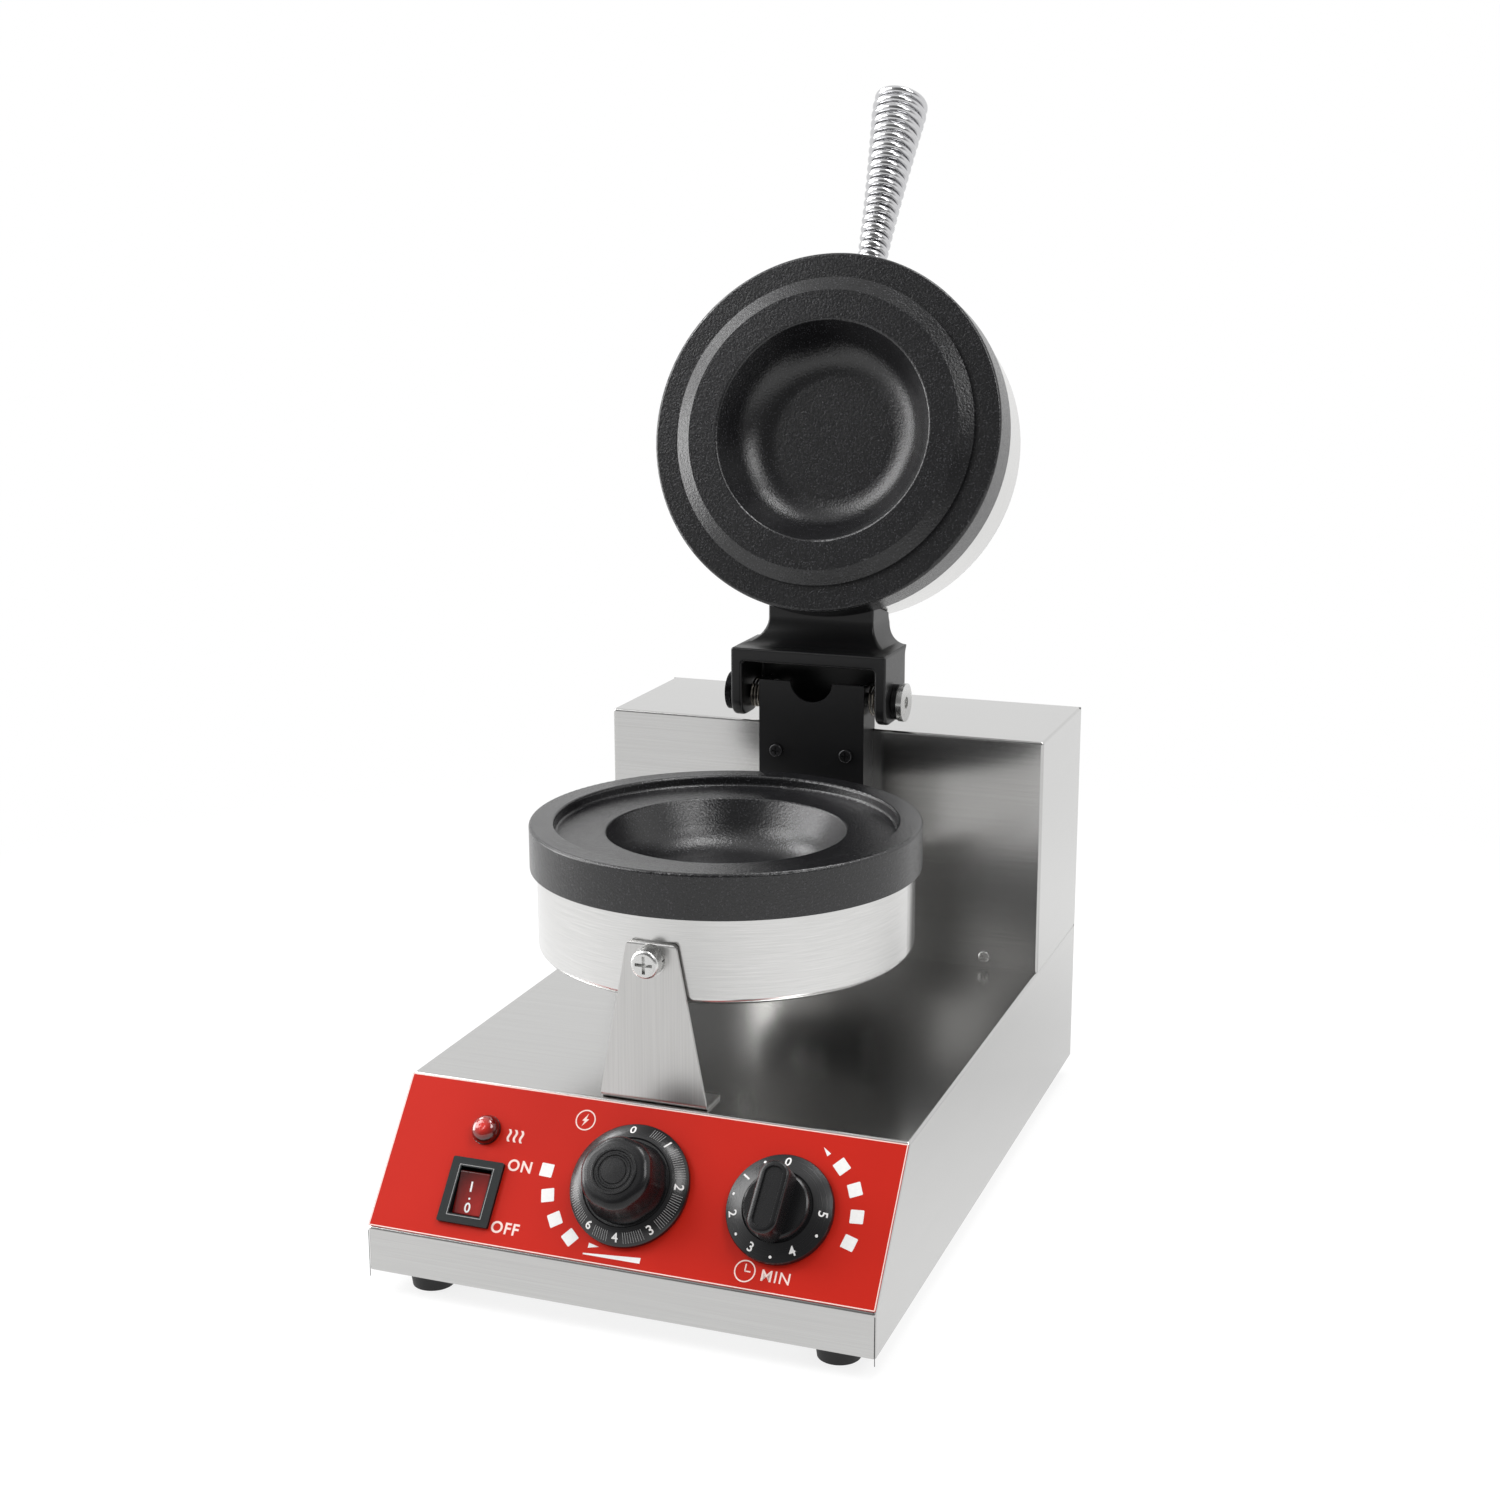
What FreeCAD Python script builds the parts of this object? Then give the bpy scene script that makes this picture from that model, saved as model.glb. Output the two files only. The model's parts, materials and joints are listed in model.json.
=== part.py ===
import FreeCAD, Part
import math
import os

os.makedirs("parts", exist_ok=True)

Vec = FreeCAD.Vector
X_AXIS = Vec(1, 0, 0)
Y_AXIS = Vec(0, 1, 0)
Z_AXIS = Vec(0, 0, 1)

# Frame, in millimetres: X to the right seen from the front, Y to the back, Z up from the table.
# The base stands forward of the origin, because the open lid and its handle lean out behind it.
BASE_CENTRE_Y = -27.4

# Clearances
RUNNING_FIT = 0.05
SNUG_FIT = 0.02
SCREW_CLEARANCE = 0.15
MOVING_GAP = 0.3
TOOL_OVERRUN = 5.0
SAME_PLACE = 1e-6

# Sheet metal case
BASE_WIDTH = 250.0
BASE_DEPTH = 385.0
DECK_HEIGHT = 81.0
FRONT_STRIP = 21.0
PANEL_RUN = 50.0
SHEET = 1.2
FOLD_RADIUS = 1.5
BOTTOM_LIP = 30.0
REAR_LIP = 12.0
DECK_SHELF = 20.0
CLEAT_LEG = 14.0
BOTTOM_PLATE = 1.2
BOTTOM_PLATE_INSET = 3.0
BOTTOM_VENTS = 8
BOTTOM_VENT_LENGTH = 46.0
BOTTOM_VENT_PITCH = 12.0

# Slots through sheet metal, with ends a little short of a half circle
VENT_WIDTH = 4.0
ROUND_END_SHARE = 0.488

# Cross recess of a screw head, as shares of the head
RECESS_REACH_SHARE = 0.62
RECESS_SLOT_SHARE = 0.11
RECESS_DEPTH_SHARE = 0.45
HEAD_EDGE_SHARE = 0.333

# Feet
FOOT_HEIGHT = 10.8
FOOT_TOP_RADIUS = 11.5
FOOT_BOTTOM_RADIUS = 10.0
FOOT_INSET_SIDE = 23.0
FOOT_INSET_END = 20.0
FOOT_WEB = 4.5
FOOT_SCREW_RADIUS = 2.5
FOOT_SCREW_HEAD = 4.5
FOOT_SCREW_HEAD_HEIGHT = 3.0
FOOT_SCREW_TAIL = 4.0

# Rear box
PAN_TO_BOX = 52.0
REAR_BOX_HEIGHT = 129.0
RIVET_FROM_SIDE = 30.0
RIVET_X = BASE_WIDTH / 2 - RIVET_FROM_SIDE
RIVET_Z = 6.0
RIVET_RADIUS = 1.6
RIVET_HEAD = 3.0
RIVET_HEAD_HEIGHT = 1.2
COVER_SCREW_RADIUS = 1.75
COVER_SCREW_HEAD = 3.4
COVER_SCREW_HEAD_HEIGHT = 2.2
COVER_SCREW_TAIL = 5.0
COVER_SCREW_INSET = 18.0
COVER_VENTS = 7
COVER_VENT_LENGTH = 70.0
COVER_VENT_PITCH = 10.0
GLAND_FROM_SIDE = 40.0
GLAND_X = BASE_WIDTH / 2 - GLAND_FROM_SIDE
GLAND_HEIGHT = 34.0
GLAND_BORE = 4.0
GLAND_BORE_DEPTH = 18.0
GLAND_THREAD = 8.0
GLAND_THREAD_LENGTH = 9.0
GLAND_FLATS = 22.0
GLAND_HEX = 6.0
GLAND_CAP_RADIUS = 9.5
GLAND_CAP = 14.0
GLAND_NUT = 5.0

# Control panel, in the plane of the sloped front: across from the middle and up from its lower edge
PANEL_THICK = 1.0
PANEL_MARGIN = 1.2
PANEL_SIDE_MARGIN = 0.3
PANEL_CORNER = 0.6
TIMER_FROM_SIDE = 52.0
SWITCH_FROM_SIDE = 47.8
LAMP_FROM_SIDE = 46.6
DIAL_UP = 38.5
SWITCH_UP = 24.0
LAMP_UP = 54.3
THERMOSTAT_AT = (0.0, DIAL_UP)
TIMER_AT = (BASE_WIDTH / 2 - TIMER_FROM_SIDE, DIAL_UP)
SWITCH_AT = (SWITCH_FROM_SIDE - BASE_WIDTH / 2, SWITCH_UP)
LAMP_AT = (LAMP_FROM_SIDE - BASE_WIDTH / 2, LAMP_UP)

# Rotary controls
CONTROL_WIDTH = 38.0
CONTROL_TALL = 34.0
CONTROL_DEPTH = 26.0
CONTROL_NECK = 4.5
CONTROL_SCREW_SPACING = 28.0
CONTROL_SCREW_RADIUS = 1.75
CONTROL_SCREW_HEAD = 3.0
CONTROL_SCREW_HEAD_HEIGHT = 1.4
CONTROL_SCREW_LENGTH = 8.0
SHAFT_RADIUS = 3.0
SHAFT_SEAT = 14.0
SHAFT_IN_KNOB = 13.0
KNOB_GAP = 0.8
KNOB_RIM = 3.0
KNOB_RIM_EDGE = 0.8
KNOB_HOLLOW = 3.0
KNOB_HOLLOW_WALL = 6.0
KNOB_HUB = 6.0
THERMOSTAT_DIAL_RADIUS = 28.7
THERMOSTAT_DIAL_RISE = 4.0
THERMOSTAT_CAP_RADIUS = 21.0
THERMOSTAT_CAP_TOP_RADIUS = 16.5
THERMOSTAT_CAP_HEIGHT = 18.0
THERMOSTAT_CAP_CORNER = 8.0
THERMOSTAT_CAP_EDGE = 4.0
THERMOSTAT_CAP_TURN = 15.0
TIMER_DIAL_RADIUS = 25.0
TIMER_DIAL_RISE = 3.0
TIMER_HUB_RADIUS = 15.5
TIMER_HUB_HEIGHT = 3.5
TIMER_GRIP_WIDTH = 14.0
TIMER_GRIP_LENGTH = 34.0
TIMER_GRIP_HEIGHT = 13.0
TIMER_GRIP_EDGE = 3.0

# Rocker switch
BEZEL_WIDTH = 26.2
BEZEL_TALL = 31.2
BEZEL_THICK = 2.0
BEZEL_CORNER = 0.8
SWITCH_WIDTH = 21.6
SWITCH_TALL = 28.2
SWITCH_DEPTH = 20.0
SWITCH_CUT_GAP = 0.2
SWITCH_WALL = 2.8
ROCKER_SIDE_GAP = 0.3
ROCKER_END_GAP = 0.5
ROCKER_TILT = 8.0
ROCKER_PIVOT_DEPTH = 1.8
ROCKER_PIN = 1.2
ROCKER_TOP_ANGLE = 24.0
ROCKER_BOTTOM_ANGLE = 10.0
ROCKER_VALLEY = 4.2
ROCKER_POCKET = 6.0
BLADE_WIDTH = 4.8
BLADE_THICK = 0.8
BLADE_LENGTH = 8.0
BLADE_SPACING = 12.0

# Pilot lamp
LAMP_BARREL = 5.5
LAMP_DEPTH = 18.0
LAMP_BEZEL_RADIUS = 7.2
LAMP_BEZEL_THICK = 0.8
LAMP_LENS_RADIUS = 6.9
LAMP_LENS_HEIGHT = 5.6
LAMP_LENS_EDGE = 5.2

# Terminal block inside the base
TERMINAL_LENGTH = 52.0
TERMINAL_WIDTH = 22.0
TERMINAL_HEIGHT = 18.0
TERMINAL_WAYS = 5
TERMINAL_BORE = 3.0
TERMINAL_BORE_DEPTH = 8.0
TERMINAL_FROM_BACK = 70.0

# Heated pans: the same shell and castings below and above
PAN_CLEARANCE = 49.5
SHELL_RADIUS = 93.5
SHELL_HEIGHT = 42.0
SHELL_SHEET = 1.5
SHELL_CORNER = 4.0
PLATE_OVERHANG = 3.5
PLATE_RADIUS = SHELL_RADIUS + PLATE_OVERHANG
PLATE_BAND = 22.0
PLATE_EDGE = 1.5
CAST_WALL = 6.0
DISC_THICK = 8.0
RIM_FLAT = 12.5
RECESS_RADIUS = PLATE_RADIUS - RIM_FLAT
RECESS_DEPTH = 5.5
RECESS_FLAT = 25.0
BOWL_RADIUS = RECESS_RADIUS - RECESS_FLAT
BOWL_DEPTH = 24.0
BOWL_SLOPE = 13.0
BOWL_FLOOR_RADIUS = BOWL_RADIUS - BOWL_SLOPE
BOWL_CORNER = 22.0
BOWL_LIP = 1.5
BOSS_GAP = 1.3
BOSS_WALL = 2.0
BOSS_BEVEL = 7.7
HEATER_INSET = 17.5
HEATER_RING = SHELL_RADIUS - HEATER_INSET
HEATER_TUBE = 4.0
HEATER_OPEN_ANGLE = 30.0
HEATER_LEG = 9.0
CLAMP_FLAT = 6.0
CLAMP_INNER = HEATER_RING - CLAMP_FLAT
CLAMP_THICK = 2.0
CLAMP_SCREWS = 4
CLAMP_SCREW_TURN = 45.0
CLAMP_BOSS_RADIUS = 4.3
CLAMP_SCREW_RADIUS = 2.0
CLAMP_SCREW_HEAD = 3.6
CLAMP_SCREW_HEAD_HEIGHT = 2.4
CLAMP_SCREW_DEPTH = 5.0
SHELL_SCREWS = 3
SHELL_SCREW_TURN = 90.0
SHELL_SCREW_CIRCLE = 25.0
SHELL_SCREW_RADIUS = 2.5
SHELL_SCREW_HEAD = 4.6
SHELL_SCREW_HEAD_HEIGHT = 2.8
SHELL_SCREW_DEPTH = 7.0
SHELL_BOSS_RADIUS = 6.5
SHELL_BOSS_LENGTH = 8.0
INSULATION_INSET = 15.5
INSULATION_RADIUS = SHELL_RADIUS - INSULATION_INSET
INSULATION_THICK = 15.0

# Front bracket and its bolt
BRACKET_SETBACK = 0.8
BRACKET_GAP = 1.2
BRACKET_SHEET = 1.5
BRACKET_BOTTOM_WIDTH = 53.0
BRACKET_TOP_WIDTH = 24.4
BRACKET_HEIGHT = 79.0
BRACKET_FOOT = 18.0
BRACKET_BEND = 3.0
BRACKET_CORNER = 3.0
BRACKET_SCREW_X = 17.0
BRACKET_SCREW_RADIUS = 2.0
BRACKET_SCREW_HEAD = 3.8
BRACKET_SCREW_HEAD_HEIGHT = 2.4
BRACKET_SCREW_TAIL = 5.0
PAN_BOLT_RISE = 21.5
PAN_BOLT_RADIUS = 3.0
PAN_BOLT_HEAD = 6.9
PAN_BOLT_HEAD_HEIGHT = 5.8
PAN_WASHER_RADIUS = 7.6
PAN_WASHER = 1.4
SPRING_WASHER_RADIUS = 6.4
SPRING_WASHER = 1.8
PAN_NUT_FLATS = 10.0
PAN_NUT = 5.0
PAN_BOLT_TAIL = 1.5

# Support tube behind the lower pan
TUBE_RADIUS = 10.0
TUBE_BORE = 7.5
TUBE_END_GAP = 1.0
TUBE_TAIL = 12.0
TUBE_NUT_FLATS = 26.0
TUBE_NUT = 6.0

# Hinge
HINGE_BEFORE_BOX = 6.0
HINGE_RISE = 17.5
OPEN_ANGLE = 106.5
BRACKET_STANDOFF = 17.0
HINGE_SHEET = 1.5
HINGE_BRACKET_WIDTH = 60.0
HINGE_BRACKET_TOP = 9.5
HINGE_BRACKET_DROP = 82.0
HINGE_CHEEK_BACK = 9.0
HINGE_CHEEK_CORNER = 6.0
HINGE_NOTCH_RADIUS = 12.2
HINGE_NOTCH_RAISE = 1.3
HINGE_SCREW_X = 20.0
HINGE_SCREW_DROPS = (12.0, 72.0)
HINGE_SCREW_RADIUS = 2.0
HINGE_SCREW_HEAD = 3.6
HINGE_SCREW_HEAD_HEIGHT = 1.8
HINGE_NUT_FLATS = 7.0
HINGE_NUT = 3.2
HINGE_SCREW_TAIL = 1.0
PIN_RADIUS = 4.0
PIN_HEAD_RADIUS = 10.4
PIN_HEAD = 3.0
PIN_SOCKET = 6.0
PIN_SOCKET_DEPTH = 2.0
PIN_NUT_FLATS = 13.0
PIN_NUT = 5.0
PIN_TAIL = 1.5
DISC_WASHERS = 3
DISC_WASHER_THICK = 0.9
DISC_WASHER_GAP = 0.15
DISC_WASHER_RADIUS = 9.6
HINGE_SPRING_WIRE = 1.4
HINGE_SPRING_TURNS = 3
HINGE_SPRING_RADIUS = 7.6

# Hinge arm, measured from the hinge axis with the lid open
ARM_WIDTH = 88.0
ARM_EAR = 6.3
ARM_FRONT = 18.0
ARM_EAR_BACK = 11.0
ARM_EAR_DROP = 11.0
ARM_EAR_CORNER = 9.5
ARM_POCKET_TOP = 20.0
ARM_CROSSBAR = 7.5
ARM_BACK = 19.5
ARM_BACK_LIFT = 3.5
ARM_BACK_WALL = 5.0
ARM_BACK_CORNER = 3.0
ARM_NECK_WIDTH = 60.0
ARM_NECK_FRONT = 4.0
ARM_NECK_BACK = 34.0
ARM_NECK_CORNER = 15.0
ARM_SHOULDER = 24.0
ARM_NECK_LOW = 37.0
ARM_STOP_WIDTH = 54.0
ARM_SCREW_ANGLE = 12.0
ARM_SCREW_RISES = (12.0, 26.0)
ARM_SCREW_RADIUS = 2.5
ARM_SCREW_HEAD = 4.2
ARM_SCREW_HEAD_HEIGHT = 3.0
ARM_SCREW_LENGTH = 9.0

# Handle
HANDLE_RISE = 15.0
HANDLE_DROP = 13.0
HANDLE_BOSS_RADIUS = 6.5
HANDLE_BOSS = 6.0
ROD_RADIUS = 3.2
ROD_INSET = 4.0
ROD_LENGTH = 78.0
COIL_WIRE = 4.8
COIL_TURNS = 19.75
COIL_FIRST_PITCH = 5.35
COIL_LAST_PITCH = 5.8
COIL_FIRST_RADIUS = 5.95
COIL_LAST_RADIUS = 14.4
COIL_FLARE = 1.4
COIL_TUCK = 1.6
COIL_TUCK_SHARE = 0.12
COIL_GAP_SAMPLES = 48
COIL_BOSS_GAP = 0.5

# Levels and places that follow from the sizes above
CASE_Z = FOOT_HEIGHT + BOTTOM_PLATE
PANEL_Z = CASE_Z + FRONT_STRIP
DECK_Z = CASE_Z + DECK_HEIGHT
BOX_TOP = DECK_Z + REAR_BOX_HEIGHT
HALF_WIDTH = BASE_WIDTH / 2
FRONT_Y = BASE_CENTRE_Y - BASE_DEPTH / 2
BACK_Y = BASE_CENTRE_Y + BASE_DEPTH / 2
CASE_END_Y = BACK_Y - SHEET
PANEL_RISE = DECK_HEIGHT - FRONT_STRIP
PANEL_LENGTH = math.hypot(PANEL_RUN, PANEL_RISE)
PANEL_LEAN = math.degrees(math.atan2(PANEL_RISE, PANEL_RUN))
PANEL_PLACE = FreeCAD.Placement(Vec(0, FRONT_Y, PANEL_Z), FreeCAD.Rotation(X_AXIS, PANEL_LEAN))
KNOB_BACK = PANEL_THICK + KNOB_GAP

PAN_Y = FRONT_Y + PANEL_RUN + BRACKET_SETBACK + BRACKET_SHEET + BRACKET_GAP + SHELL_RADIUS
BOX_FRONT_Y = PAN_Y + SHELL_RADIUS + PAN_TO_BOX
PAN_Z = DECK_Z + PAN_CLEARANCE
PLATE_FACE = SHELL_HEIGHT + PLATE_BAND
LID_TOP_Z = PAN_Z + 2 * PLATE_FACE + MOVING_GAP
SHELL_BORE = SHELL_RADIUS - SHELL_SHEET
PAN_BOLT_Z = PAN_Z + PAN_BOLT_RISE
BOSS_HEIGHT = RECESS_DEPTH - MOVING_GAP

HINGE_Y = BOX_FRONT_Y - HINGE_BEFORE_BOX
HINGE_Z = BOX_TOP + HINGE_RISE
HINGE_POINT = Vec(0, HINGE_Y, HINGE_Z)
HINGE_PLATE_Y = BOX_FRONT_Y - BRACKET_STANDOFF
CHEEK_X = HINGE_BRACKET_WIDTH / 2
EAR_OUT = ARM_WIDTH / 2
EAR_IN = EAR_OUT - ARM_EAR
PIN_SEAT_X = EAR_OUT + MOVING_GAP + DISC_WASHERS * (DISC_WASHER_THICK + DISC_WASHER_GAP)


# Shapes used by many pieces

def box(x0, x1, y0, y1, z0, z1):
    return Part.makeBox(x1 - x0, y1 - y0, z1 - z0, Vec(x0, y0, z0))


def round_bar(radius, start, end):
    line = end.sub(start)
    return Part.makeCylinder(radius, line.Length, start, line)


def tube(outer, inner, start, end):
    return round_bar(outer, start, end).cut(round_bar(inner, start, end))


def joined(shapes):
    whole = shapes[0].multiFuse(shapes[1:])
    return whole.removeSplitter()


def group(shapes):
    return Part.makeCompound(shapes)


# A closed outline from corners (a, b, radius), each rounded by its own radius.
def rounded_wire(corners, place):
    ends = []
    count = len(corners)
    for index, (a, b, radius) in enumerate(corners):
        here = Vec(a, b, 0)
        before = Vec(corners[index - 1][0], corners[index - 1][1], 0)
        after = Vec(corners[(index + 1) % count][0], corners[(index + 1) % count][1], 0)
        back = before.sub(here).normalize()
        ahead = after.sub(here).normalize()
        if radius == 0:
            ends.append((here, None, here))
            continue
        half = back.getAngle(ahead) / 2
        reach = radius / math.tan(half)
        inward = back.add(ahead).normalize()
        middle = here.add(inward * (radius / math.sin(half) - radius))
        ends.append((here.add(back * reach), middle, here.add(ahead * reach)))
    edges = []
    for index, (start, middle, end) in enumerate(ends):
        if middle:
            edges.append(Part.Arc(place(start), place(middle), place(end)).toShape())
        following = ends[(index + 1) % count][0]
        if end.distanceToPoint(following) > SAME_PLACE:
            edges.append(Part.LineSegment(place(end), place(following)).toShape())
    return Part.Wire(edges)


def flat_outline(height):
    return lambda p: Vec(p.x, p.y, height)


def side_outline(x):
    return lambda p: Vec(x, p.x, p.y)


def turned(corners):
    wire = rounded_wire(corners, lambda p: Vec(p.x, 0, p.y))
    return Part.Face(wire).revolve(Vec(0, 0, 0), Z_AXIS, 360)


def pressed_out(corners, low, high):
    return Part.Face(rounded_wire(corners, flat_outline(low))).extrude(Vec(0, 0, high - low))


def rectangle(centre, width, tall, corner):
    across, up = centre
    half_width = width / 2
    half_tall = tall / 2
    return [(across - half_width, up - half_tall, corner), (across + half_width, up - half_tall, corner),
            (across + half_width, up + half_tall, corner), (across - half_width, up + half_tall, corner)]


def along(shape, point, direction):
    placed = shape.copy()
    placed.Placement = FreeCAD.Placement(point, FreeCAD.Rotation(Z_AXIS, direction))
    return placed


# Fasteners stand on Z = 0: the head rises from it and the shank goes down.
def screw(shank, length, head, head_height):
    head_shape = Part.makeCylinder(head, head_height)
    head_shape = head_shape.makeFillet(head_height * HEAD_EDGE_SHARE, [head_shape.Edges[0]])
    slot_half = head * RECESS_REACH_SHARE
    slot_width = head * RECESS_SLOT_SHARE
    depth = head_height * RECESS_DEPTH_SHARE
    for dx, dy in ((slot_half, slot_width), (slot_width, slot_half)):
        head_shape = head_shape.cut(box(-dx, dx, -dy, dy, head_height - depth, head_height + depth))
    return joined([head_shape, Part.makeCylinder(shank, length, Vec(0, 0, -length))])


def hexagon(flats, height):
    corner = flats / math.sqrt(3)
    points = [Vec(corner * math.cos(math.radians(60 * k)), corner * math.sin(math.radians(60 * k)), 0)
              for k in range(7)]
    return Part.Face(Part.makePolygon(points)).extrude(Vec(0, 0, height))


def hex_nut(flats, height, bore):
    return hexagon(flats, height).cut(Part.makeCylinder(bore, height))


# A round wire along a curve, made of half turns, each a pair of tangent arcs.
def wound_wire(curve, turns, wire):
    step = 1e-4
    knots = [k / 2 for k in range(int(2 * turns) + 1)]
    places = [curve(t) for t in knots]
    tangents = [curve(t + step).sub(curve(t - step)).normalize() for t in knots]
    edges = []
    for start, end, leave, arrive in zip(places, places[1:], tangents, tangents[1:]):
        chord = end.sub(start)
        both = leave.add(arrive)
        spread = 2 * (1 - leave.dot(arrive))
        ahead = chord.dot(both)
        reach = (math.sqrt(ahead ** 2 + spread * chord.dot(chord)) - ahead) / spread
        first = start.add(leave * reach)
        second = end.sub(arrive * reach)
        join = first.add(second) * 0.5
        edges.append(tangent_arc(start, first, join))
        edges.append(tangent_arc(join, second, end))
    path = Part.Wire(edges)
    ring = Part.Wire(Part.Circle(places[0], tangents[0], wire / 2).toShape())
    return path.makePipeShell([ring], True, False)


def tangent_arc(start, corner, end):
    middle = start.add(end) * 0.5
    half_chord = middle.distanceToPoint(start)
    bulge = corner.sub(middle)
    angle = math.atan2(bulge.Length, half_chord)
    peak = middle.add(bulge.normalize() * (half_chord * math.tan(angle / 2)))
    return Part.Arc(start, peak, end).toShape()


def on_panel(shape):
    placed = shape.copy()
    placed.Placement = PANEL_PLACE
    return placed


def panel_hole(centre, radius):
    across, up = centre
    return round_bar(radius, Vec(across, up, -TOOL_OVERRUN), Vec(across, up, TOOL_OVERRUN))


# The lower pan stands as it is drawn; the upper one is turned over, and its lid then swings open.
def lower(shape):
    placed = shape.copy()
    placed.translate(Vec(0, PAN_Y, PAN_Z))
    return placed


def upper_shut(shape):
    placed = shape.copy()
    placed.rotate(Vec(0, 0, 0), X_AXIS, 180)
    placed.translate(Vec(0, PAN_Y, LID_TOP_Z))
    return placed


def opened(shape):
    placed = shape.copy()
    placed.rotate(HINGE_POINT, X_AXIS, -OPEN_ANGLE)
    return placed


def mirrored_x(x):
    return (-x, x)


nodes = {}

# Case: folded sheet with a sloped front, open below and behind
foot_spots = [(side * (HALF_WIDTH - FOOT_INSET_SIDE), end)
              for end in (FRONT_Y + FOOT_INSET_END, BACK_Y - FOOT_INSET_END) for side in (-1, 1)]
cover_screw_x = HALF_WIDTH - SHEET - REAR_LIP / 2
cover_screw_spots = [(x, z) for x in mirrored_x(cover_screw_x)
                     for z in (CASE_Z + COVER_SCREW_INSET, DECK_Z - COVER_SCREW_INSET,
                               DECK_Z + COVER_SCREW_INSET, BOX_TOP - COVER_SCREW_INSET)]
rivet_spots = [Vec(x, BOX_FRONT_Y, DECK_Z + RIVET_Z) for x in mirrored_x(RIVET_X)]
bracket_y = PAN_Y - SHELL_RADIUS - BRACKET_GAP - BRACKET_SHEET
bracket_screw_y = bracket_y + BRACKET_SHEET + (BRACKET_FOOT - BRACKET_SHEET) / 2
bracket_screw_spots = [Vec(x, bracket_screw_y, DECK_Z + BRACKET_SHEET) for x in mirrored_x(BRACKET_SCREW_X)]
control_spots = (THERMOSTAT_AT, TIMER_AT)
control_screw_spots = [(across + dx, up) for across, up in control_spots
                       for dx in mirrored_x(CONTROL_SCREW_SPACING / 2)]


def cover_screw_holes(radius):
    return [round_bar(radius, Vec(x, CASE_END_Y - TOOL_OVERRUN, z), Vec(x, BACK_Y + TOOL_OVERRUN, z))
            for x, z in cover_screw_spots]


def foot_screw_holes(radius):
    return [round_bar(radius, Vec(x, y, 0), Vec(x, y, CASE_Z + TOOL_OVERRUN)) for x, y in foot_spots]


def rivet_holes(radius):
    return [round_bar(radius, spot.sub(Y_AXIS * TOOL_OVERRUN), spot.add(Y_AXIS * TOOL_OVERRUN))
            for spot in rivet_spots]


def control_cutouts():
    cuts = [panel_hole(spot, CONTROL_NECK + SCREW_CLEARANCE) for spot in control_spots]
    cuts += [panel_hole(spot, CONTROL_SCREW_RADIUS + SCREW_CLEARANCE) for spot in control_screw_spots]
    cuts.append(panel_hole(LAMP_AT, LAMP_BARREL + SCREW_CLEARANCE))
    around = 2 * SWITCH_CUT_GAP
    switch_hole = rectangle(SWITCH_AT, SWITCH_WIDTH + around, SWITCH_TALL + around, 0)
    cuts.append(pressed_out(switch_hole, -TOOL_OVERRUN, TOOL_OVERRUN))
    return cuts


def slope_shift(depth):
    return depth * PANEL_LENGTH / PANEL_RISE


def case_side_edges(solid):
    found = []
    for edge in solid.Edges:
        low = edge.BoundBox
        on_side = abs(low.XLength) < SAME_PLACE and abs(abs(low.XMin) - HALF_WIDTH) < SAME_PLACE
        if on_side and low.ZMax > low.ZMin + SAME_PLACE and low.YMax < CASE_END_Y - SAME_PLACE:
            found.append(edge)
        if on_side and abs(low.ZMin - DECK_Z) < SAME_PLACE:
            found.append(edge)
    return found


case_profile = [(FRONT_Y, CASE_Z, 0), (FRONT_Y, PANEL_Z, FOLD_RADIUS),
                (FRONT_Y + PANEL_RUN, DECK_Z, FOLD_RADIUS), (CASE_END_Y, DECK_Z, 0), (CASE_END_Y, CASE_Z, 0)]
case_outside = Part.Face(rounded_wire(case_profile, side_outline(-HALF_WIDTH))).extrude(X_AXIS * BASE_WIDTH)
case_outside = case_outside.makeFillet(FOLD_RADIUS, case_side_edges(case_outside))
inner_front = FRONT_Y + SHEET
inner_deck = DECK_Z - SHEET
slope_per_run = PANEL_RISE / PANEL_RUN
inner_panel_z = PANEL_Z + (SHEET - slope_shift(SHEET)) * slope_per_run
inner_deck_y = FRONT_Y + slope_shift(SHEET) + (inner_deck - PANEL_Z) / slope_per_run
case_hollow_profile = [(inner_front, CASE_Z - TOOL_OVERRUN, 0), (inner_front, inner_panel_z, 0),
                       (inner_deck_y, inner_deck, 0), (CASE_END_Y + TOOL_OVERRUN, inner_deck, 0),
                       (CASE_END_Y + TOOL_OVERRUN, CASE_Z - TOOL_OVERRUN, 0)]
inner_half = HALF_WIDTH - SHEET
case_hollow = Part.Face(rounded_wire(case_hollow_profile, side_outline(-inner_half)))
case_hollow = case_hollow.extrude(X_AXIS * 2 * inner_half)
case_pieces = [case_outside.cut(case_hollow)]
for side in (-1, 1):
    wall = side * inner_half
    lip = sorted((wall, wall - side * BOTTOM_LIP))
    case_pieces.append(box(lip[0], lip[1], inner_front, CASE_END_Y, CASE_Z, CASE_Z + SHEET))
    rear_lip = sorted((wall, wall - side * REAR_LIP))
    case_pieces.append(box(rear_lip[0], rear_lip[1], CASE_END_Y - SHEET, CASE_END_Y, CASE_Z, inner_deck))
shelf_x = inner_half - DECK_SHELF
deck_opening = box(-shelf_x, shelf_x, BOX_FRONT_Y + DECK_SHELF, CASE_END_Y + TOOL_OVERRUN,
                   inner_deck - SHEET, DECK_Z + SHEET)
case = joined(case_pieces).cut(deck_opening)
case = case.cut([on_panel(cut) for cut in control_cutouts()])
case = case.cut(cover_screw_holes(COVER_SCREW_RADIUS + SNUG_FIT))
case = case.cut(foot_screw_holes(FOOT_SCREW_RADIUS + SNUG_FIT))
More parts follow.
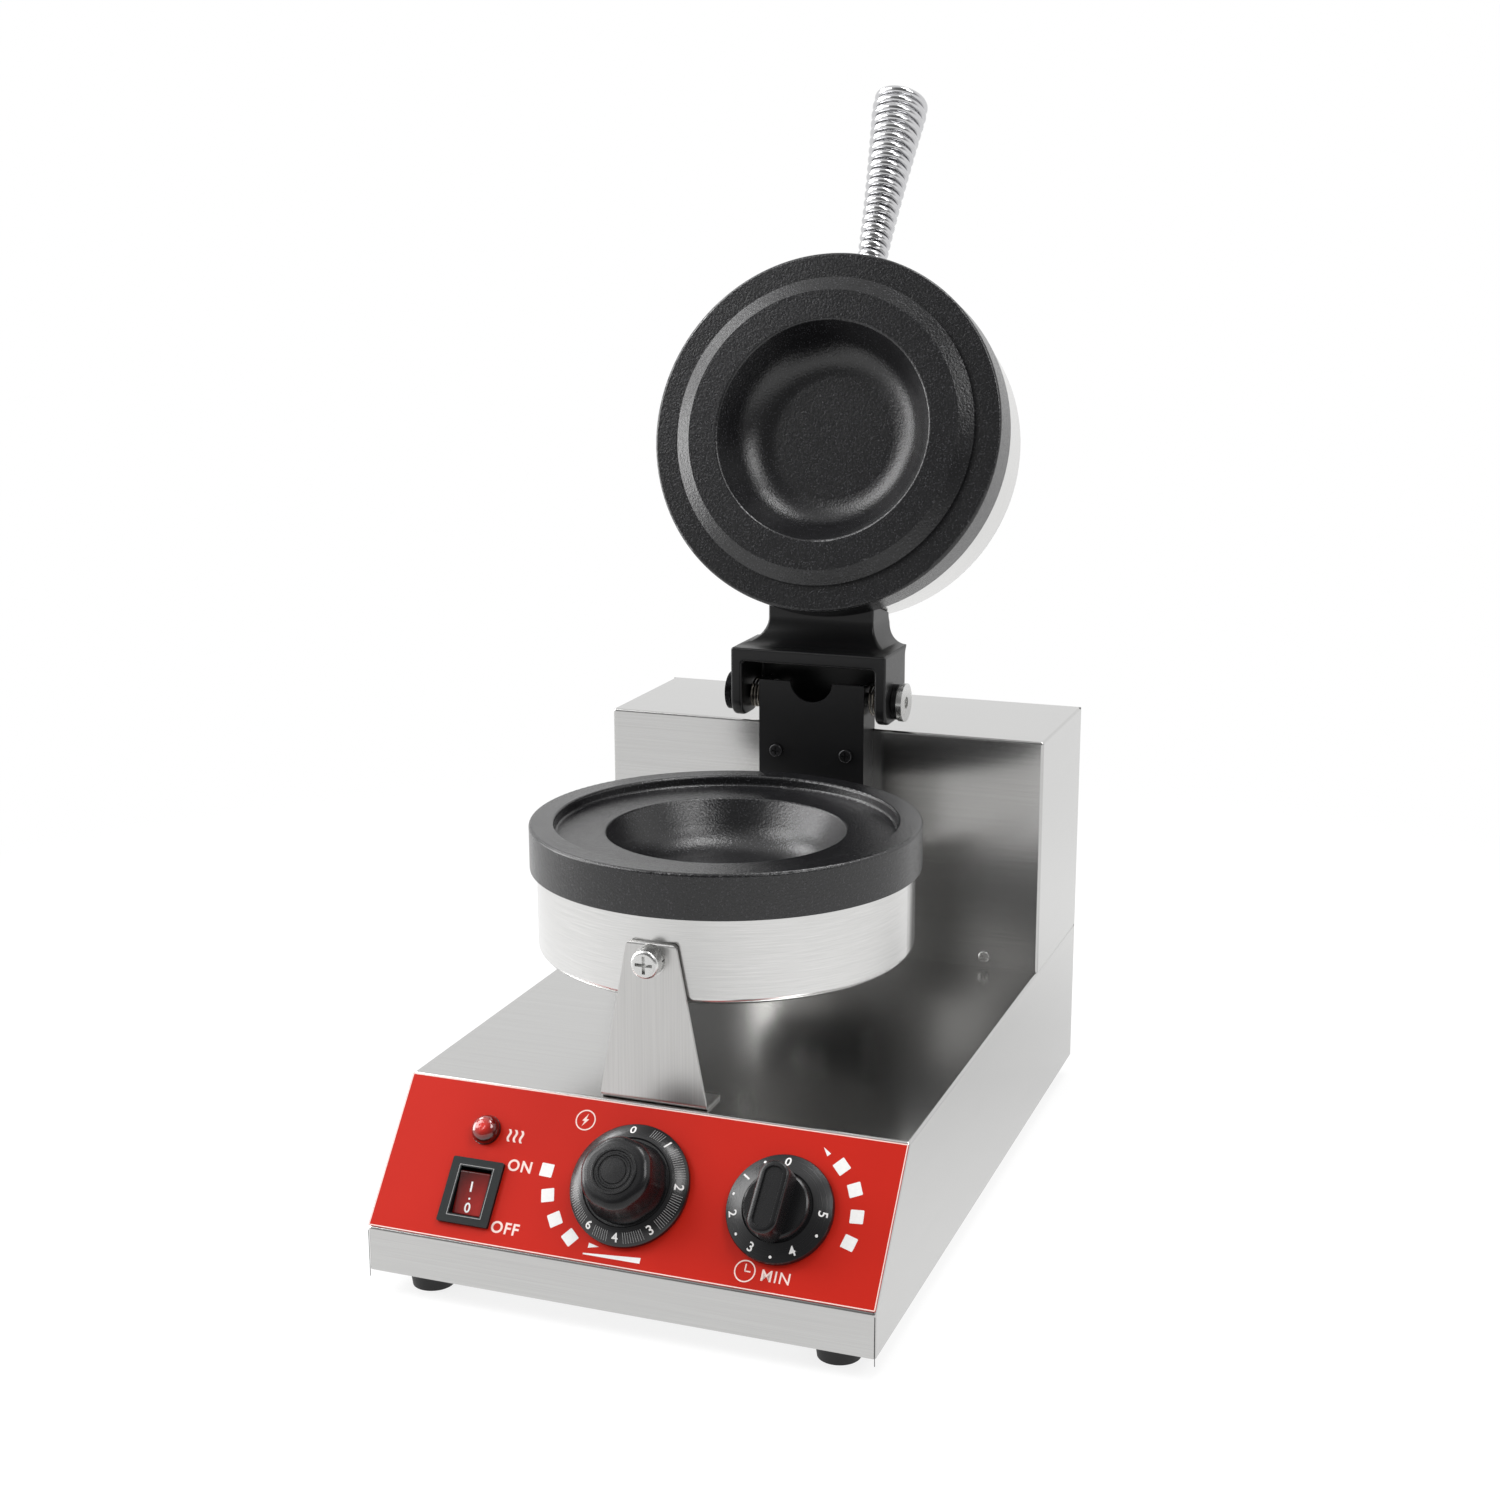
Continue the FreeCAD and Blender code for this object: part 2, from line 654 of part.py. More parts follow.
bracket_screw_length = BRACKET_SHEET + SHEET + BRACKET_SCREW_TAIL
case = case.cut([round_bar(BRACKET_SCREW_RADIUS + SNUG_FIT, spot.sub(Z_AXIS * bracket_screw_length), spot)
                 for spot in bracket_screw_spots])
nodes["base_shell"] = case

# Bottom plate with vents, feet and their screws
plate = box(-HALF_WIDTH + BOTTOM_PLATE_INSET, HALF_WIDTH - BOTTOM_PLATE_INSET,
            FRONT_Y + BOTTOM_PLATE_INSET, CASE_END_Y - BOTTOM_PLATE_INSET, FOOT_HEIGHT, CASE_Z)
vents = []
for k in range(BOTTOM_VENTS):
    vent_y = BASE_CENTRE_Y + (k - (BOTTOM_VENTS - 1) / 2) * BOTTOM_VENT_PITCH
    slot = rectangle((0, vent_y), BOTTOM_VENT_LENGTH, VENT_WIDTH, VENT_WIDTH * ROUND_END_SHARE)
    vents.append(pressed_out(slot, FOOT_HEIGHT - TOOL_OVERRUN, CASE_Z + TOOL_OVERRUN))
nodes["bottom_plate"] = plate.cut(vents).cut(foot_screw_holes(FOOT_SCREW_RADIUS + SCREW_CLEARANCE))

foot_names = ("foot_front_left", "foot_front_right", "foot_rear_left", "foot_rear_right")
foot_seat = FOOT_HEIGHT - FOOT_WEB
foot_screw_length = FOOT_WEB + BOTTOM_PLATE + SHEET + FOOT_SCREW_TAIL
foot_screws = []
for name, (x, y) in zip(foot_names, foot_spots):
    foot = Part.makeCone(FOOT_BOTTOM_RADIUS, FOOT_TOP_RADIUS, FOOT_HEIGHT, Vec(x, y, 0))
    below = Vec(x, y, -TOOL_OVERRUN)
    well = round_bar(FOOT_SCREW_HEAD + SCREW_CLEARANCE, below, Vec(x, y, foot_seat))
    hole = round_bar(FOOT_SCREW_RADIUS + SCREW_CLEARANCE, below, Vec(x, y, FOOT_HEIGHT + TOOL_OVERRUN))
    nodes[name] = foot.cut([well, hole])
    one = screw(FOOT_SCREW_RADIUS, foot_screw_length, FOOT_SCREW_HEAD, FOOT_SCREW_HEAD_HEIGHT)
    foot_screws.append(along(one, Vec(x, y, foot_seat), Z_AXIS * -1))
nodes["foot_screws"] = group(foot_screws)

# Rear box, its rivets and the cover that closes the back of the case
hinge_screw_spots = [Vec(x, HINGE_PLATE_Y, BOX_TOP - drop) for x in mirrored_x(HINGE_SCREW_X)
                     for drop in HINGE_SCREW_DROPS]


def hinge_screw_holes():
    end_y = Y_AXIS * (BRACKET_STANDOFF + SHEET + TOOL_OVERRUN)
    return [round_bar(HINGE_SCREW_RADIUS + SCREW_CLEARANCE, spot.sub(Y_AXIS * TOOL_OVERRUN), spot.add(end_y))
            for spot in hinge_screw_spots]


tube_start = Vec(0, PAN_Y + INSULATION_RADIUS + TUBE_END_GAP, PAN_BOLT_Z)
tube_end = Vec(0, BOX_FRONT_Y + SHEET + TUBE_TAIL, PAN_BOLT_Z)


def tube_hole():
    return round_bar(TUBE_RADIUS + SCREW_CLEARANCE, tube_start, tube_end)


box_outside = box(-HALF_WIDTH, HALF_WIDTH, BOX_FRONT_Y, CASE_END_Y, DECK_Z, BOX_TOP)
box_edges = []
for edge in box_outside.Edges:
    reach = edge.BoundBox
    at_front_side = reach.ZLength > SAME_PLACE and abs(reach.YMax - BOX_FRONT_Y) < SAME_PLACE
    on_top = reach.ZMin > BOX_TOP - SAME_PLACE and reach.YMin < CASE_END_Y - SAME_PLACE
    if at_front_side or on_top:
        box_edges.append(edge)
box_outside = box_outside.makeFillet(FOLD_RADIUS, box_edges)
box_hollow = box(-inner_half, inner_half, BOX_FRONT_Y + SHEET, CASE_END_Y + TOOL_OVERRUN,
                 DECK_Z - TOOL_OVERRUN, BOX_TOP - SHEET)
box_pieces = [box_outside.cut(box_hollow)]
for side in (-1, 1):
    wall = side * inner_half
    lip = sorted((wall, wall - side * REAR_LIP))
    box_pieces.append(box(lip[0], lip[1], BOX_FRONT_Y + SHEET, CASE_END_Y, DECK_Z, DECK_Z + SHEET))
    box_pieces.append(box(lip[0], lip[1], CASE_END_Y - SHEET, CASE_END_Y, DECK_Z, BOX_TOP - SHEET))
rear_box = joined(box_pieces).cut(cover_screw_holes(COVER_SCREW_RADIUS + SNUG_FIT))
rear_box = rear_box.cut(rivet_holes(RIVET_RADIUS + SCREW_CLEARANCE))
nodes["rear_box"] = rear_box.cut(hinge_screw_holes() + [tube_hole()])
cleat_y = BOX_FRONT_Y + SHEET
cleat_x = inner_half - REAR_LIP - MOVING_GAP
cleat = joined([box(-cleat_x, cleat_x, cleat_y, cleat_y + SHEET, DECK_Z, DECK_Z + CLEAT_LEG),
                box(-cleat_x, cleat_x, cleat_y, cleat_y + CLEAT_LEG, DECK_Z, DECK_Z + SHEET)])
nodes["rear_box_cleat"] = cleat.cut(rivet_holes(RIVET_RADIUS + SNUG_FIT))
one = screw(RIVET_RADIUS, 2 * SHEET, RIVET_HEAD, RIVET_HEAD_HEIGHT)
nodes["rear_box_rivets"] = group([along(one, spot, Y_AXIS * -1) for spot in rivet_spots])

gland_spot = Vec(GLAND_X, BACK_Y, CASE_Z + GLAND_HEIGHT)
cover = box(-HALF_WIDTH, HALF_WIDTH, CASE_END_Y, BACK_Y, CASE_Z, BOX_TOP)
cuts = cover_screw_holes(COVER_SCREW_RADIUS + SCREW_CLEARANCE)
cuts.append(round_bar(GLAND_THREAD + SCREW_CLEARANCE, gland_spot.sub(Y_AXIS * TOOL_OVERRUN),
                      gland_spot.add(Y_AXIS * TOOL_OVERRUN)))
vent_middle = (DECK_Z + BOX_TOP) / 2
for k in range(COVER_VENTS):
    vent_z = vent_middle + (k - (COVER_VENTS - 1) / 2) * COVER_VENT_PITCH
    slot = rectangle((0, 0), COVER_VENT_LENGTH, VENT_WIDTH, VENT_WIDTH * ROUND_END_SHARE)
    cuts.append(along(pressed_out(slot, -SHEET, 2 * SHEET), Vec(0, BACK_Y, vent_z), Y_AXIS * -1))
nodes["rear_cover"] = cover.cut(cuts)
one = screw(COVER_SCREW_RADIUS, 2 * SHEET + COVER_SCREW_TAIL, COVER_SCREW_HEAD, COVER_SCREW_HEAD_HEIGHT)
nodes["rear_cover_screws"] = group([along(one, Vec(x, BACK_Y, z), Y_AXIS) for x, z in cover_screw_spots])

gland_end = GLAND_HEX + GLAND_CAP
gland_inside = SHEET + GLAND_THREAD_LENGTH
gland = joined([hexagon(GLAND_FLATS, GLAND_HEX),
                Part.makeCylinder(GLAND_THREAD, gland_inside, Vec(0, 0, -gland_inside)),
                Part.makeCone(GLAND_CAP_RADIUS, GLAND_THREAD, GLAND_CAP, Vec(0, 0, GLAND_HEX))])
gland = gland.cut(round_bar(GLAND_BORE, Vec(0, 0, gland_end - GLAND_BORE_DEPTH), Vec(0, 0, gland_end)))
nodes["cable_gland"] = along(gland, gland_spot, Y_AXIS)
gland_nut = hex_nut(GLAND_FLATS, GLAND_NUT, GLAND_THREAD + SNUG_FIT)
nodes["gland_locknut"] = along(gland_nut, gland_spot.sub(Y_AXIS * (SHEET + GLAND_NUT)), Y_AXIS)

# Control panel and what is fixed behind it
panel_middle = (0, PANEL_LENGTH / 2)
panel_width = BASE_WIDTH - 2 * PANEL_SIDE_MARGIN
panel_face = rectangle(panel_middle, panel_width, PANEL_LENGTH - 2 * PANEL_MARGIN, PANEL_CORNER)
nodes["control_panel"] = on_panel(pressed_out(panel_face, 0, PANEL_THICK).cut(control_cutouts()))


def control_body(spot):
    across, up = spot
    block = pressed_out(rectangle(spot, CONTROL_WIDTH, CONTROL_TALL, 0), -SHEET - CONTROL_DEPTH, -SHEET)
    neck = round_bar(CONTROL_NECK, Vec(across, up, -SHEET), Vec(across, up, PANEL_THICK))
    bore = round_bar(SHAFT_RADIUS + RUNNING_FIT, Vec(across, up, -SHEET - SHAFT_SEAT - MOVING_GAP),
                     Vec(across, up, PANEL_THICK))
    tap_low = PANEL_THICK - CONTROL_SCREW_LENGTH
    taps = [round_bar(CONTROL_SCREW_RADIUS + SNUG_FIT, Vec(across + dx, up, tap_low), Vec(across + dx, up, 0))
            for dx in mirrored_x(CONTROL_SCREW_SPACING / 2)]
    blades = [box(across + dx - BLADE_WIDTH / 2, across + dx + BLADE_WIDTH / 2, up - BLADE_THICK / 2,
                  up + BLADE_THICK / 2, -SHEET - CONTROL_DEPTH - BLADE_LENGTH, -SHEET - CONTROL_DEPTH)
              for dx in mirrored_x(BLADE_SPACING / 2)]
    return on_panel(joined([block, neck] + blades).cut([bore] + taps))


nodes["thermostat_body"] = control_body(THERMOSTAT_AT)
nodes["timer_body"] = control_body(TIMER_AT)
one = screw(CONTROL_SCREW_RADIUS, CONTROL_SCREW_LENGTH, CONTROL_SCREW_HEAD, CONTROL_SCREW_HEAD_HEIGHT)
nodes["control_screws"] = group([on_panel(group([along(one, Vec(across, up, PANEL_THICK), Z_AXIS)]))
                                 for across, up in control_screw_spots])


def control_shaft(spot):
    across, up = spot
    return on_panel(round_bar(SHAFT_RADIUS, Vec(across, up, -SHEET - SHAFT_SEAT),
                              Vec(across, up, KNOB_BACK + SHAFT_IN_KNOB)))


def knob_skirt(radius, rise, shoulder):
    rim_top = KNOB_RIM + rise
    skirt = turned([(0, 0, 0), (radius, 0, 0), (radius, KNOB_RIM, KNOB_RIM_EDGE), (shoulder, rim_top, 0),
                    (0, rim_top, 0)])
    hollow = tube(radius - KNOB_HOLLOW_WALL, KNOB_HUB, Vec(0, 0, -TOOL_OVERRUN), Vec(0, 0, KNOB_HOLLOW))
    return skirt.cut(hollow)


def knob_in_place(shape, spot):
    bore = round_bar(SHAFT_RADIUS + SNUG_FIT, Vec(0, 0, -TOOL_OVERRUN), Vec(0, 0, SHAFT_IN_KNOB))
    placed = shape.cut(bore)
    placed.translate(Vec(spot[0], spot[1], KNOB_BACK))
    return on_panel(group(placed.Solids))


def hexagon_wire(radius, corner, height):
    turns = [math.radians(60 * k + THERMOSTAT_CAP_TURN) for k in range(6)]
    corners = [(radius * math.cos(turn), radius * math.sin(turn), corner) for turn in turns]
    return rounded_wire(corners, flat_outline(height))


cap_low = KNOB_RIM + THERMOSTAT_DIAL_RISE
cap_top = cap_low + THERMOSTAT_CAP_HEIGHT
taper = THERMOSTAT_CAP_TOP_RADIUS / THERMOSTAT_CAP_RADIUS
cap_wires = [hexagon_wire(THERMOSTAT_CAP_RADIUS, THERMOSTAT_CAP_CORNER, cap_low),
             hexagon_wire(THERMOSTAT_CAP_TOP_RADIUS, THERMOSTAT_CAP_CORNER * taper, cap_top)]
cap = Part.makeLoft(cap_wires, True, True)
cap_edges = [edge for edge in cap.Edges if edge.BoundBox.ZMin > cap_top - SAME_PLACE]
cap = cap.makeFillet(THERMOSTAT_CAP_EDGE, cap_edges)
skirt = knob_skirt(THERMOSTAT_DIAL_RADIUS, THERMOSTAT_DIAL_RISE, THERMOSTAT_CAP_RADIUS)
nodes["thermostat_knob"] = knob_in_place(joined([skirt, cap]), THERMOSTAT_AT)
nodes["thermostat_shaft"] = control_shaft(THERMOSTAT_AT)

hub_low = KNOB_RIM + TIMER_DIAL_RISE
hub_top = hub_low + TIMER_HUB_HEIGHT
grip_top = hub_top + TIMER_GRIP_HEIGHT
grip_face = rectangle((0, 0), TIMER_GRIP_WIDTH, TIMER_GRIP_LENGTH, TIMER_GRIP_WIDTH * ROUND_END_SHARE)
grip = pressed_out(grip_face, hub_low, grip_top)
grip_edges = [edge for edge in grip.Edges if edge.BoundBox.ZMin > grip_top - SAME_PLACE]
grip = grip.makeFillet(TIMER_GRIP_EDGE, grip_edges)
hub = Part.makeCylinder(TIMER_HUB_RADIUS, TIMER_HUB_HEIGHT, Vec(0, 0, hub_low))
skirt = knob_skirt(TIMER_DIAL_RADIUS, TIMER_DIAL_RISE, TIMER_HUB_RADIUS)
nodes["timer_knob"] = knob_in_place(joined([skirt, hub, grip]), TIMER_AT)
nodes["timer_shaft"] = control_shaft(TIMER_AT)

# Rocker switch: a framed body with a pocket, and the rocker on its pin
switch_top = PANEL_THICK + BEZEL_THICK
pivot_n = switch_top - ROCKER_PIVOT_DEPTH - ROCKER_VALLEY
pocket_half_width = SWITCH_WIDTH / 2 - SWITCH_WALL
pocket_half_tall = SWITCH_TALL / 2 - SWITCH_WALL
pivot_start = Vec(SWITCH_AT[0] - SWITCH_WIDTH / 2, SWITCH_AT[1], pivot_n)
pivot_end = Vec(SWITCH_AT[0] + SWITCH_WIDTH / 2, SWITCH_AT[1], pivot_n)
bezel = pressed_out(rectangle(SWITCH_AT, BEZEL_WIDTH, BEZEL_TALL, BEZEL_CORNER), PANEL_THICK, switch_top)
switch_low = -SHEET - SWITCH_DEPTH
switch_block = pressed_out(rectangle(SWITCH_AT, SWITCH_WIDTH, SWITCH_TALL, 0), switch_low, PANEL_THICK)
blades = [box(SWITCH_AT[0] + dx - BLADE_THICK / 2, SWITCH_AT[0] + dx + BLADE_THICK / 2,
              SWITCH_AT[1] + dy - BLADE_WIDTH / 2, SWITCH_AT[1] + dy + BLADE_WIDTH / 2,
              switch_low - BLADE_LENGTH, switch_low)
          for dx in mirrored_x(BLADE_SPACING / 2) for dy in mirrored_x(BLADE_SPACING / 2)]
pocket = pressed_out(rectangle(SWITCH_AT, 2 * pocket_half_width, 2 * pocket_half_tall, 0),
                     pivot_n - ROCKER_POCKET, switch_top + TOOL_OVERRUN)
pivot_bore = round_bar(ROCKER_PIN + RUNNING_FIT, pivot_start, pivot_end)
nodes["switch_body"] = on_panel(joined([bezel, switch_block] + blades).cut([pocket, pivot_bore]))

rocker_reach = pocket_half_tall - ROCKER_END_GAP


def rocker_point(angle):
    return Vec(0, rocker_reach * math.cos(math.radians(angle)), rocker_reach * math.sin(math.radians(angle)))


def rocker_end(first, last):
    return Part.Arc(rocker_point(first), rocker_point((first + last) / 2), rocker_point(last)).toShape()


right_low = rocker_point(-ROCKER_BOTTOM_ANGLE)
left_low = rocker_point(180 + ROCKER_BOTTOM_ANGLE)
right_top = rocker_point(ROCKER_TOP_ANGLE)
left_top = rocker_point(180 - ROCKER_TOP_ANGLE)
valley = Vec(0, 0, ROCKER_VALLEY)
rocker_edges = [rocker_end(-ROCKER_BOTTOM_ANGLE, ROCKER_TOP_ANGLE),
                Part.LineSegment(right_top, valley).toShape(), Part.LineSegment(valley, left_top).toShape(),
                rocker_end(180 - ROCKER_TOP_ANGLE, 180 + ROCKER_BOTTOM_ANGLE),
                Part.LineSegment(left_low, right_low).toShape()]
rocker_half_width = pocket_half_width - ROCKER_SIDE_GAP
rocker = Part.Face(Part.Wire(rocker_edges)).extrude(X_AXIS * 2 * rocker_half_width)
rocker.translate(X_AXIS * -rocker_half_width)
pin_half = SWITCH_WIDTH / 2 - ROCKER_SIDE_GAP
rocker = joined([rocker, round_bar(ROCKER_PIN, X_AXIS * -pin_half, X_AXIS * pin_half)])
rocker.rotate(Vec(0, 0, 0), X_AXIS, ROCKER_TILT)
rocker.translate(Vec(SWITCH_AT[0], SWITCH_AT[1], pivot_n))
nodes["rocker_button"] = on_panel(group(rocker.Solids))

# Pilot lamp
lamp_across, lamp_up = LAMP_AT
lamp_seat = PANEL_THICK + LAMP_BEZEL_THICK
lamp_spot = Vec(lamp_across, lamp_up, 0)
lamp_front = lamp_spot.add(Z_AXIS * lamp_seat)
lamp = joined([round_bar(LAMP_BARREL, lamp_spot.sub(Z_AXIS * LAMP_DEPTH), lamp_front),
               round_bar(LAMP_BEZEL_RADIUS, lamp_spot.add(Z_AXIS * PANEL_THICK), lamp_front)])
nodes["lamp_body"] = on_panel(lamp)
lens = turned([(0, 0, 0), (LAMP_LENS_RADIUS, 0, 0), (LAMP_LENS_RADIUS, LAMP_LENS_HEIGHT, LAMP_LENS_EDGE),
               (0, LAMP_LENS_HEIGHT, 0)])
lens.translate(lamp_front)
nodes["lamp_lens"] = on_panel(group(lens.Solids))

# Terminal block on the bottom plate
terminal_y = BACK_Y - TERMINAL_FROM_BACK
block = box(-TERMINAL_LENGTH / 2, TERMINAL_LENGTH / 2, terminal_y - TERMINAL_WIDTH / 2,
            terminal_y + TERMINAL_WIDTH / 2, CASE_Z, CASE_Z + TERMINAL_HEIGHT)
ways = []
for k in range(TERMINAL_WAYS):
    way_x = (k - (TERMINAL_WAYS - 1) / 2) * TERMINAL_LENGTH / TERMINAL_WAYS
    way_top = CASE_Z + TERMINAL_HEIGHT
    ways.append(round_bar(TERMINAL_BORE, Vec(way_x, terminal_y, way_top - TERMINAL_BORE_DEPTH),
                          Vec(way_x, terminal_y, way_top + TOOL_OVERRUN)))
nodes["terminal_block"] = block.cut(ways)

# Pans, drawn with the shell's closed face on Z = 0 and the cooking face above
disc_under = PLATE_FACE - RECESS_DEPTH - DISC_THICK
clamp_top = disc_under - 2 * HEATER_TUBE
clamp_low = clamp_top - CLAMP_THICK
band_bore = PLATE_RADIUS - CAST_WALL
clamp_circle = (HEATER_RING + HEATER_TUBE + band_bore) / 2
heater_level = disc_under - HEATER_TUBE


def round_spots(count, radius, turn):
    angles = [math.radians(360 * k / count + turn) for k in range(count)]
    return [Vec(radius * math.cos(angle), radius * math.sin(angle), 0) for angle in angles]


clamp_spots = round_spots(CLAMP_SCREWS, clamp_circle, CLAMP_SCREW_TURN)
shell_screw_spots = round_spots(SHELL_SCREWS, SHELL_SCREW_CIRCLE, SHELL_SCREW_TURN)
leg_spots = [Vec(side * HEATER_RING * math.sin(math.radians(HEATER_OPEN_ANGLE / 2)),
                 HEATER_RING * math.cos(math.radians(HEATER_OPEN_ANGLE / 2)), 0) for side in (-1, 1)]


def upright(radius, spot, low, high):
    return round_bar(radius, spot.add(Z_AXIS * low), spot.add(Z_AXIS * high))


def pan_shell():
    corner = SHELL_CORNER - SHELL_SHEET
    cup = turned([(0, 0, 0), (SHELL_RADIUS, 0, SHELL_CORNER), (SHELL_RADIUS, SHELL_HEIGHT, 0),
                  (SHELL_BORE, SHELL_HEIGHT, 0), (SHELL_BORE, SHELL_SHEET, corner), (0, SHELL_SHEET, 0)])
    return cup.cut([upright(SHELL_SCREW_RADIUS + SCREW_CLEARANCE, spot, -TOOL_OVERRUN, TOOL_OVERRUN)
                    for spot in shell_screw_spots])


# The cooking face differs: its corners run from the bowl's lip out to the band.
def pan_plate(face_corners, floor):
    under = floor - CAST_WALL
    casting = turned([(0, floor, 0), (BOWL_FLOOR_RADIUS, floor, BOWL_CORNER)] + face_corners
                     + [(PLATE_RADIUS, PLATE_FACE, PLATE_EDGE), (PLATE_RADIUS, SHELL_HEIGHT, 0),
                        (band_bore, SHELL_HEIGHT, 0), (band_bore, disc_under, 0),
                        (BOWL_RADIUS + CAST_WALL, disc_under, 0), (BOWL_FLOOR_RADIUS + CAST_WALL, under, 0),
                        (0, under, 0)])
    bosses = [upright(CLAMP_BOSS_RADIUS, spot, clamp_top, disc_under + CAST_WALL / 2) for spot in clamp_spots]
    bosses += [upright(SHELL_BOSS_RADIUS, spot, under - SHELL_BOSS_LENGTH, under + CAST_WALL / 2)
               for spot in shell_screw_spots]
    taps = [upright(CLAMP_SCREW_RADIUS + SNUG_FIT, spot, clamp_low, clamp_top + CLAMP_SCREW_DEPTH)
            for spot in clamp_spots]
    boss_low = under - SHELL_BOSS_LENGTH
    taps += [upright(SHELL_SCREW_RADIUS + SNUG_FIT, spot, boss_low, boss_low + SHELL_SCREW_DEPTH)
             for spot in shell_screw_spots]
    return joined([casting] + bosses).cut(taps)


def pan_heater():
    section = Part.Wire(Part.Circle(leg_spots[1].add(Z_AXIS * heater_level), leg_spots[1].cross(Z_AXIS),
                                    HEATER_TUBE).toShape())
    bend = Part.Face(section).revolve(Vec(0, 0, 0), Z_AXIS, HEATER_OPEN_ANGLE - 360)
    legs = [upright(HEATER_TUBE, spot, heater_level - HEATER_LEG, heater_level) for spot in leg_spots]
    knuckles = [Part.makeSphere(HEATER_TUBE, spot.add(Z_AXIS * heater_level)) for spot in leg_spots]
    return bend.fuse(legs + knuckles)


def pan_clamp():
    outer = band_bore - SCREW_CLEARANCE
    plate_ring = tube(outer, CLAMP_INNER, Z_AXIS * clamp_low, Z_AXIS * clamp_top)
    cuts = [upright(CLAMP_SCREW_RADIUS + SCREW_CLEARANCE, spot, clamp_low, clamp_top) for spot in clamp_spots]
    cuts += [upright(HEATER_TUBE + MOVING_GAP, spot, clamp_low, clamp_top) for spot in leg_spots]
    return plate_ring.cut(cuts)


def pan_clamp_screws():
    length = CLAMP_THICK + CLAMP_SCREW_DEPTH
    one = screw(CLAMP_SCREW_RADIUS, length, CLAMP_SCREW_HEAD, CLAMP_SCREW_HEAD_HEIGHT)
    return group([along(one, spot.add(Z_AXIS * clamp_low), Z_AXIS * -1) for spot in clamp_spots])


def pan_insulation():
    top = SHELL_SHEET + INSULATION_THICK
    disc = Part.makeCylinder(INSULATION_RADIUS, INSULATION_THICK, Z_AXIS * SHELL_SHEET)
    return disc.cut([upright(SHELL_SCREW_RADIUS + MOVING_GAP, spot, 0, top) for spot in shell_screw_spots])


def pan_shell_screws(floor):
    length = floor - CAST_WALL - SHELL_BOSS_LENGTH + SHELL_SCREW_DEPTH
    one = screw(SHELL_SCREW_RADIUS, length, SHELL_SCREW_HEAD, SHELL_SCREW_HEAD_HEIGHT)
    return group([along(one, spot, Z_AXIS * -1) for spot in shell_screw_spots])


recess_floor = PLATE_FACE - RECESS_DEPTH
boss_face = PLATE_FACE + BOSS_HEIGHT
boss_radius = RECESS_RADIUS - BOSS_GAP
lower_face = [(BOWL_RADIUS, recess_floor, BOWL_LIP), (RECESS_RADIUS, recess_floor, PLATE_EDGE),
              (RECESS_RADIUS, PLATE_FACE, PLATE_EDGE)]
upper_face = [(BOWL_RADIUS, boss_face, BOWL_LIP), (boss_radius - BOSS_BEVEL, boss_face, 0),
              (boss_radius, PLATE_FACE + BOSS_WALL, 0), (boss_radius, PLATE_FACE, 0)]

# Lower pan, held between the front bracket and the tube behind it
front_bolt_hole = round_bar(PAN_BOLT_RADIUS + SCREW_CLEARANCE, Vec(0, bracket_y - TOOL_OVERRUN, PAN_BOLT_Z),
                            Vec(0, PAN_Y, PAN_BOLT_Z))
nodes["lower_shell"] = lower(pan_shell()).cut([front_bolt_hole, tube_hole()])
nodes["lower_plate"] = lower(pan_plate(lower_face, recess_floor - BOWL_DEPTH))
nodes["lower_heater"] = lower(pan_heater())
nodes["lower_heater_clamp"] = lower(pan_clamp())
nodes["lower_clamp_screws"] = lower(pan_clamp_screws())
nodes["lower_insulation"] = lower(pan_insulation())
nodes["lower_shell_screws"] = lower(pan_shell_screws(recess_floor - BOWL_DEPTH))

bracket_top = DECK_Z + BRACKET_HEIGHT
bracket_half = BRACKET_BOTTOM_WIDTH / 2
bracket_half_top = BRACKET_TOP_WIDTH / 2
bracket_foot_end = bracket_y + BRACKET_FOOT
bracket_lip_end = bracket_y + BRACKET_SHEET + BRACKET_GAP
inner_bend = BRACKET_BEND - BRACKET_SHEET
bracket_side = [(bracket_y, DECK_Z, BRACKET_BEND), (bracket_foot_end, DECK_Z, 0),
                (bracket_foot_end, DECK_Z + BRACKET_SHEET, 0),
                (bracket_y + BRACKET_SHEET, DECK_Z + BRACKET_SHEET, inner_bend),
                (bracket_y + BRACKET_SHEET, bracket_top - BRACKET_SHEET, 0),
                (bracket_lip_end, bracket_top - BRACKET_SHEET, 0),
                (bracket_lip_end, bracket_top, 0), (bracket_y, bracket_top, BRACKET_SHEET)]
bracket_sheet = Part.Face(rounded_wire(bracket_side, side_outline(-bracket_half)))
bracket_sheet = bracket_sheet.extrude(X_AXIS * BRACKET_BOTTOM_WIDTH)
taper_start = DECK_Z + BRACKET_BEND
bracket_front = [(-bracket_half, DECK_Z, 0), (bracket_half, DECK_Z, 0), (bracket_half, taper_start, 0),
                 (bracket_half_top, bracket_top, BRACKET_CORNER),
                 (-bracket_half_top, bracket_top, BRACKET_CORNER), (-bracket_half, taper_start, 0)]
front_wire = rounded_wire(bracket_front, lambda p: Vec(p.x, bracket_y, p.y))
bracket = bracket_sheet.common(Part.Face(front_wire).extrude(Y_AXIS * BRACKET_FOOT))
bracket_cuts = [upright(BRACKET_SCREW_RADIUS + SCREW_CLEARANCE, spot, -TOOL_OVERRUN, TOOL_OVERRUN)
                for spot in bracket_screw_spots]
bracket_cuts.append(front_bolt_hole)
nodes["front_bracket"] = bracket.cut(bracket_cuts)
one = screw(BRACKET_SCREW_RADIUS, bracket_screw_length, BRACKET_SCREW_HEAD, BRACKET_SCREW_HEAD_HEIGHT)
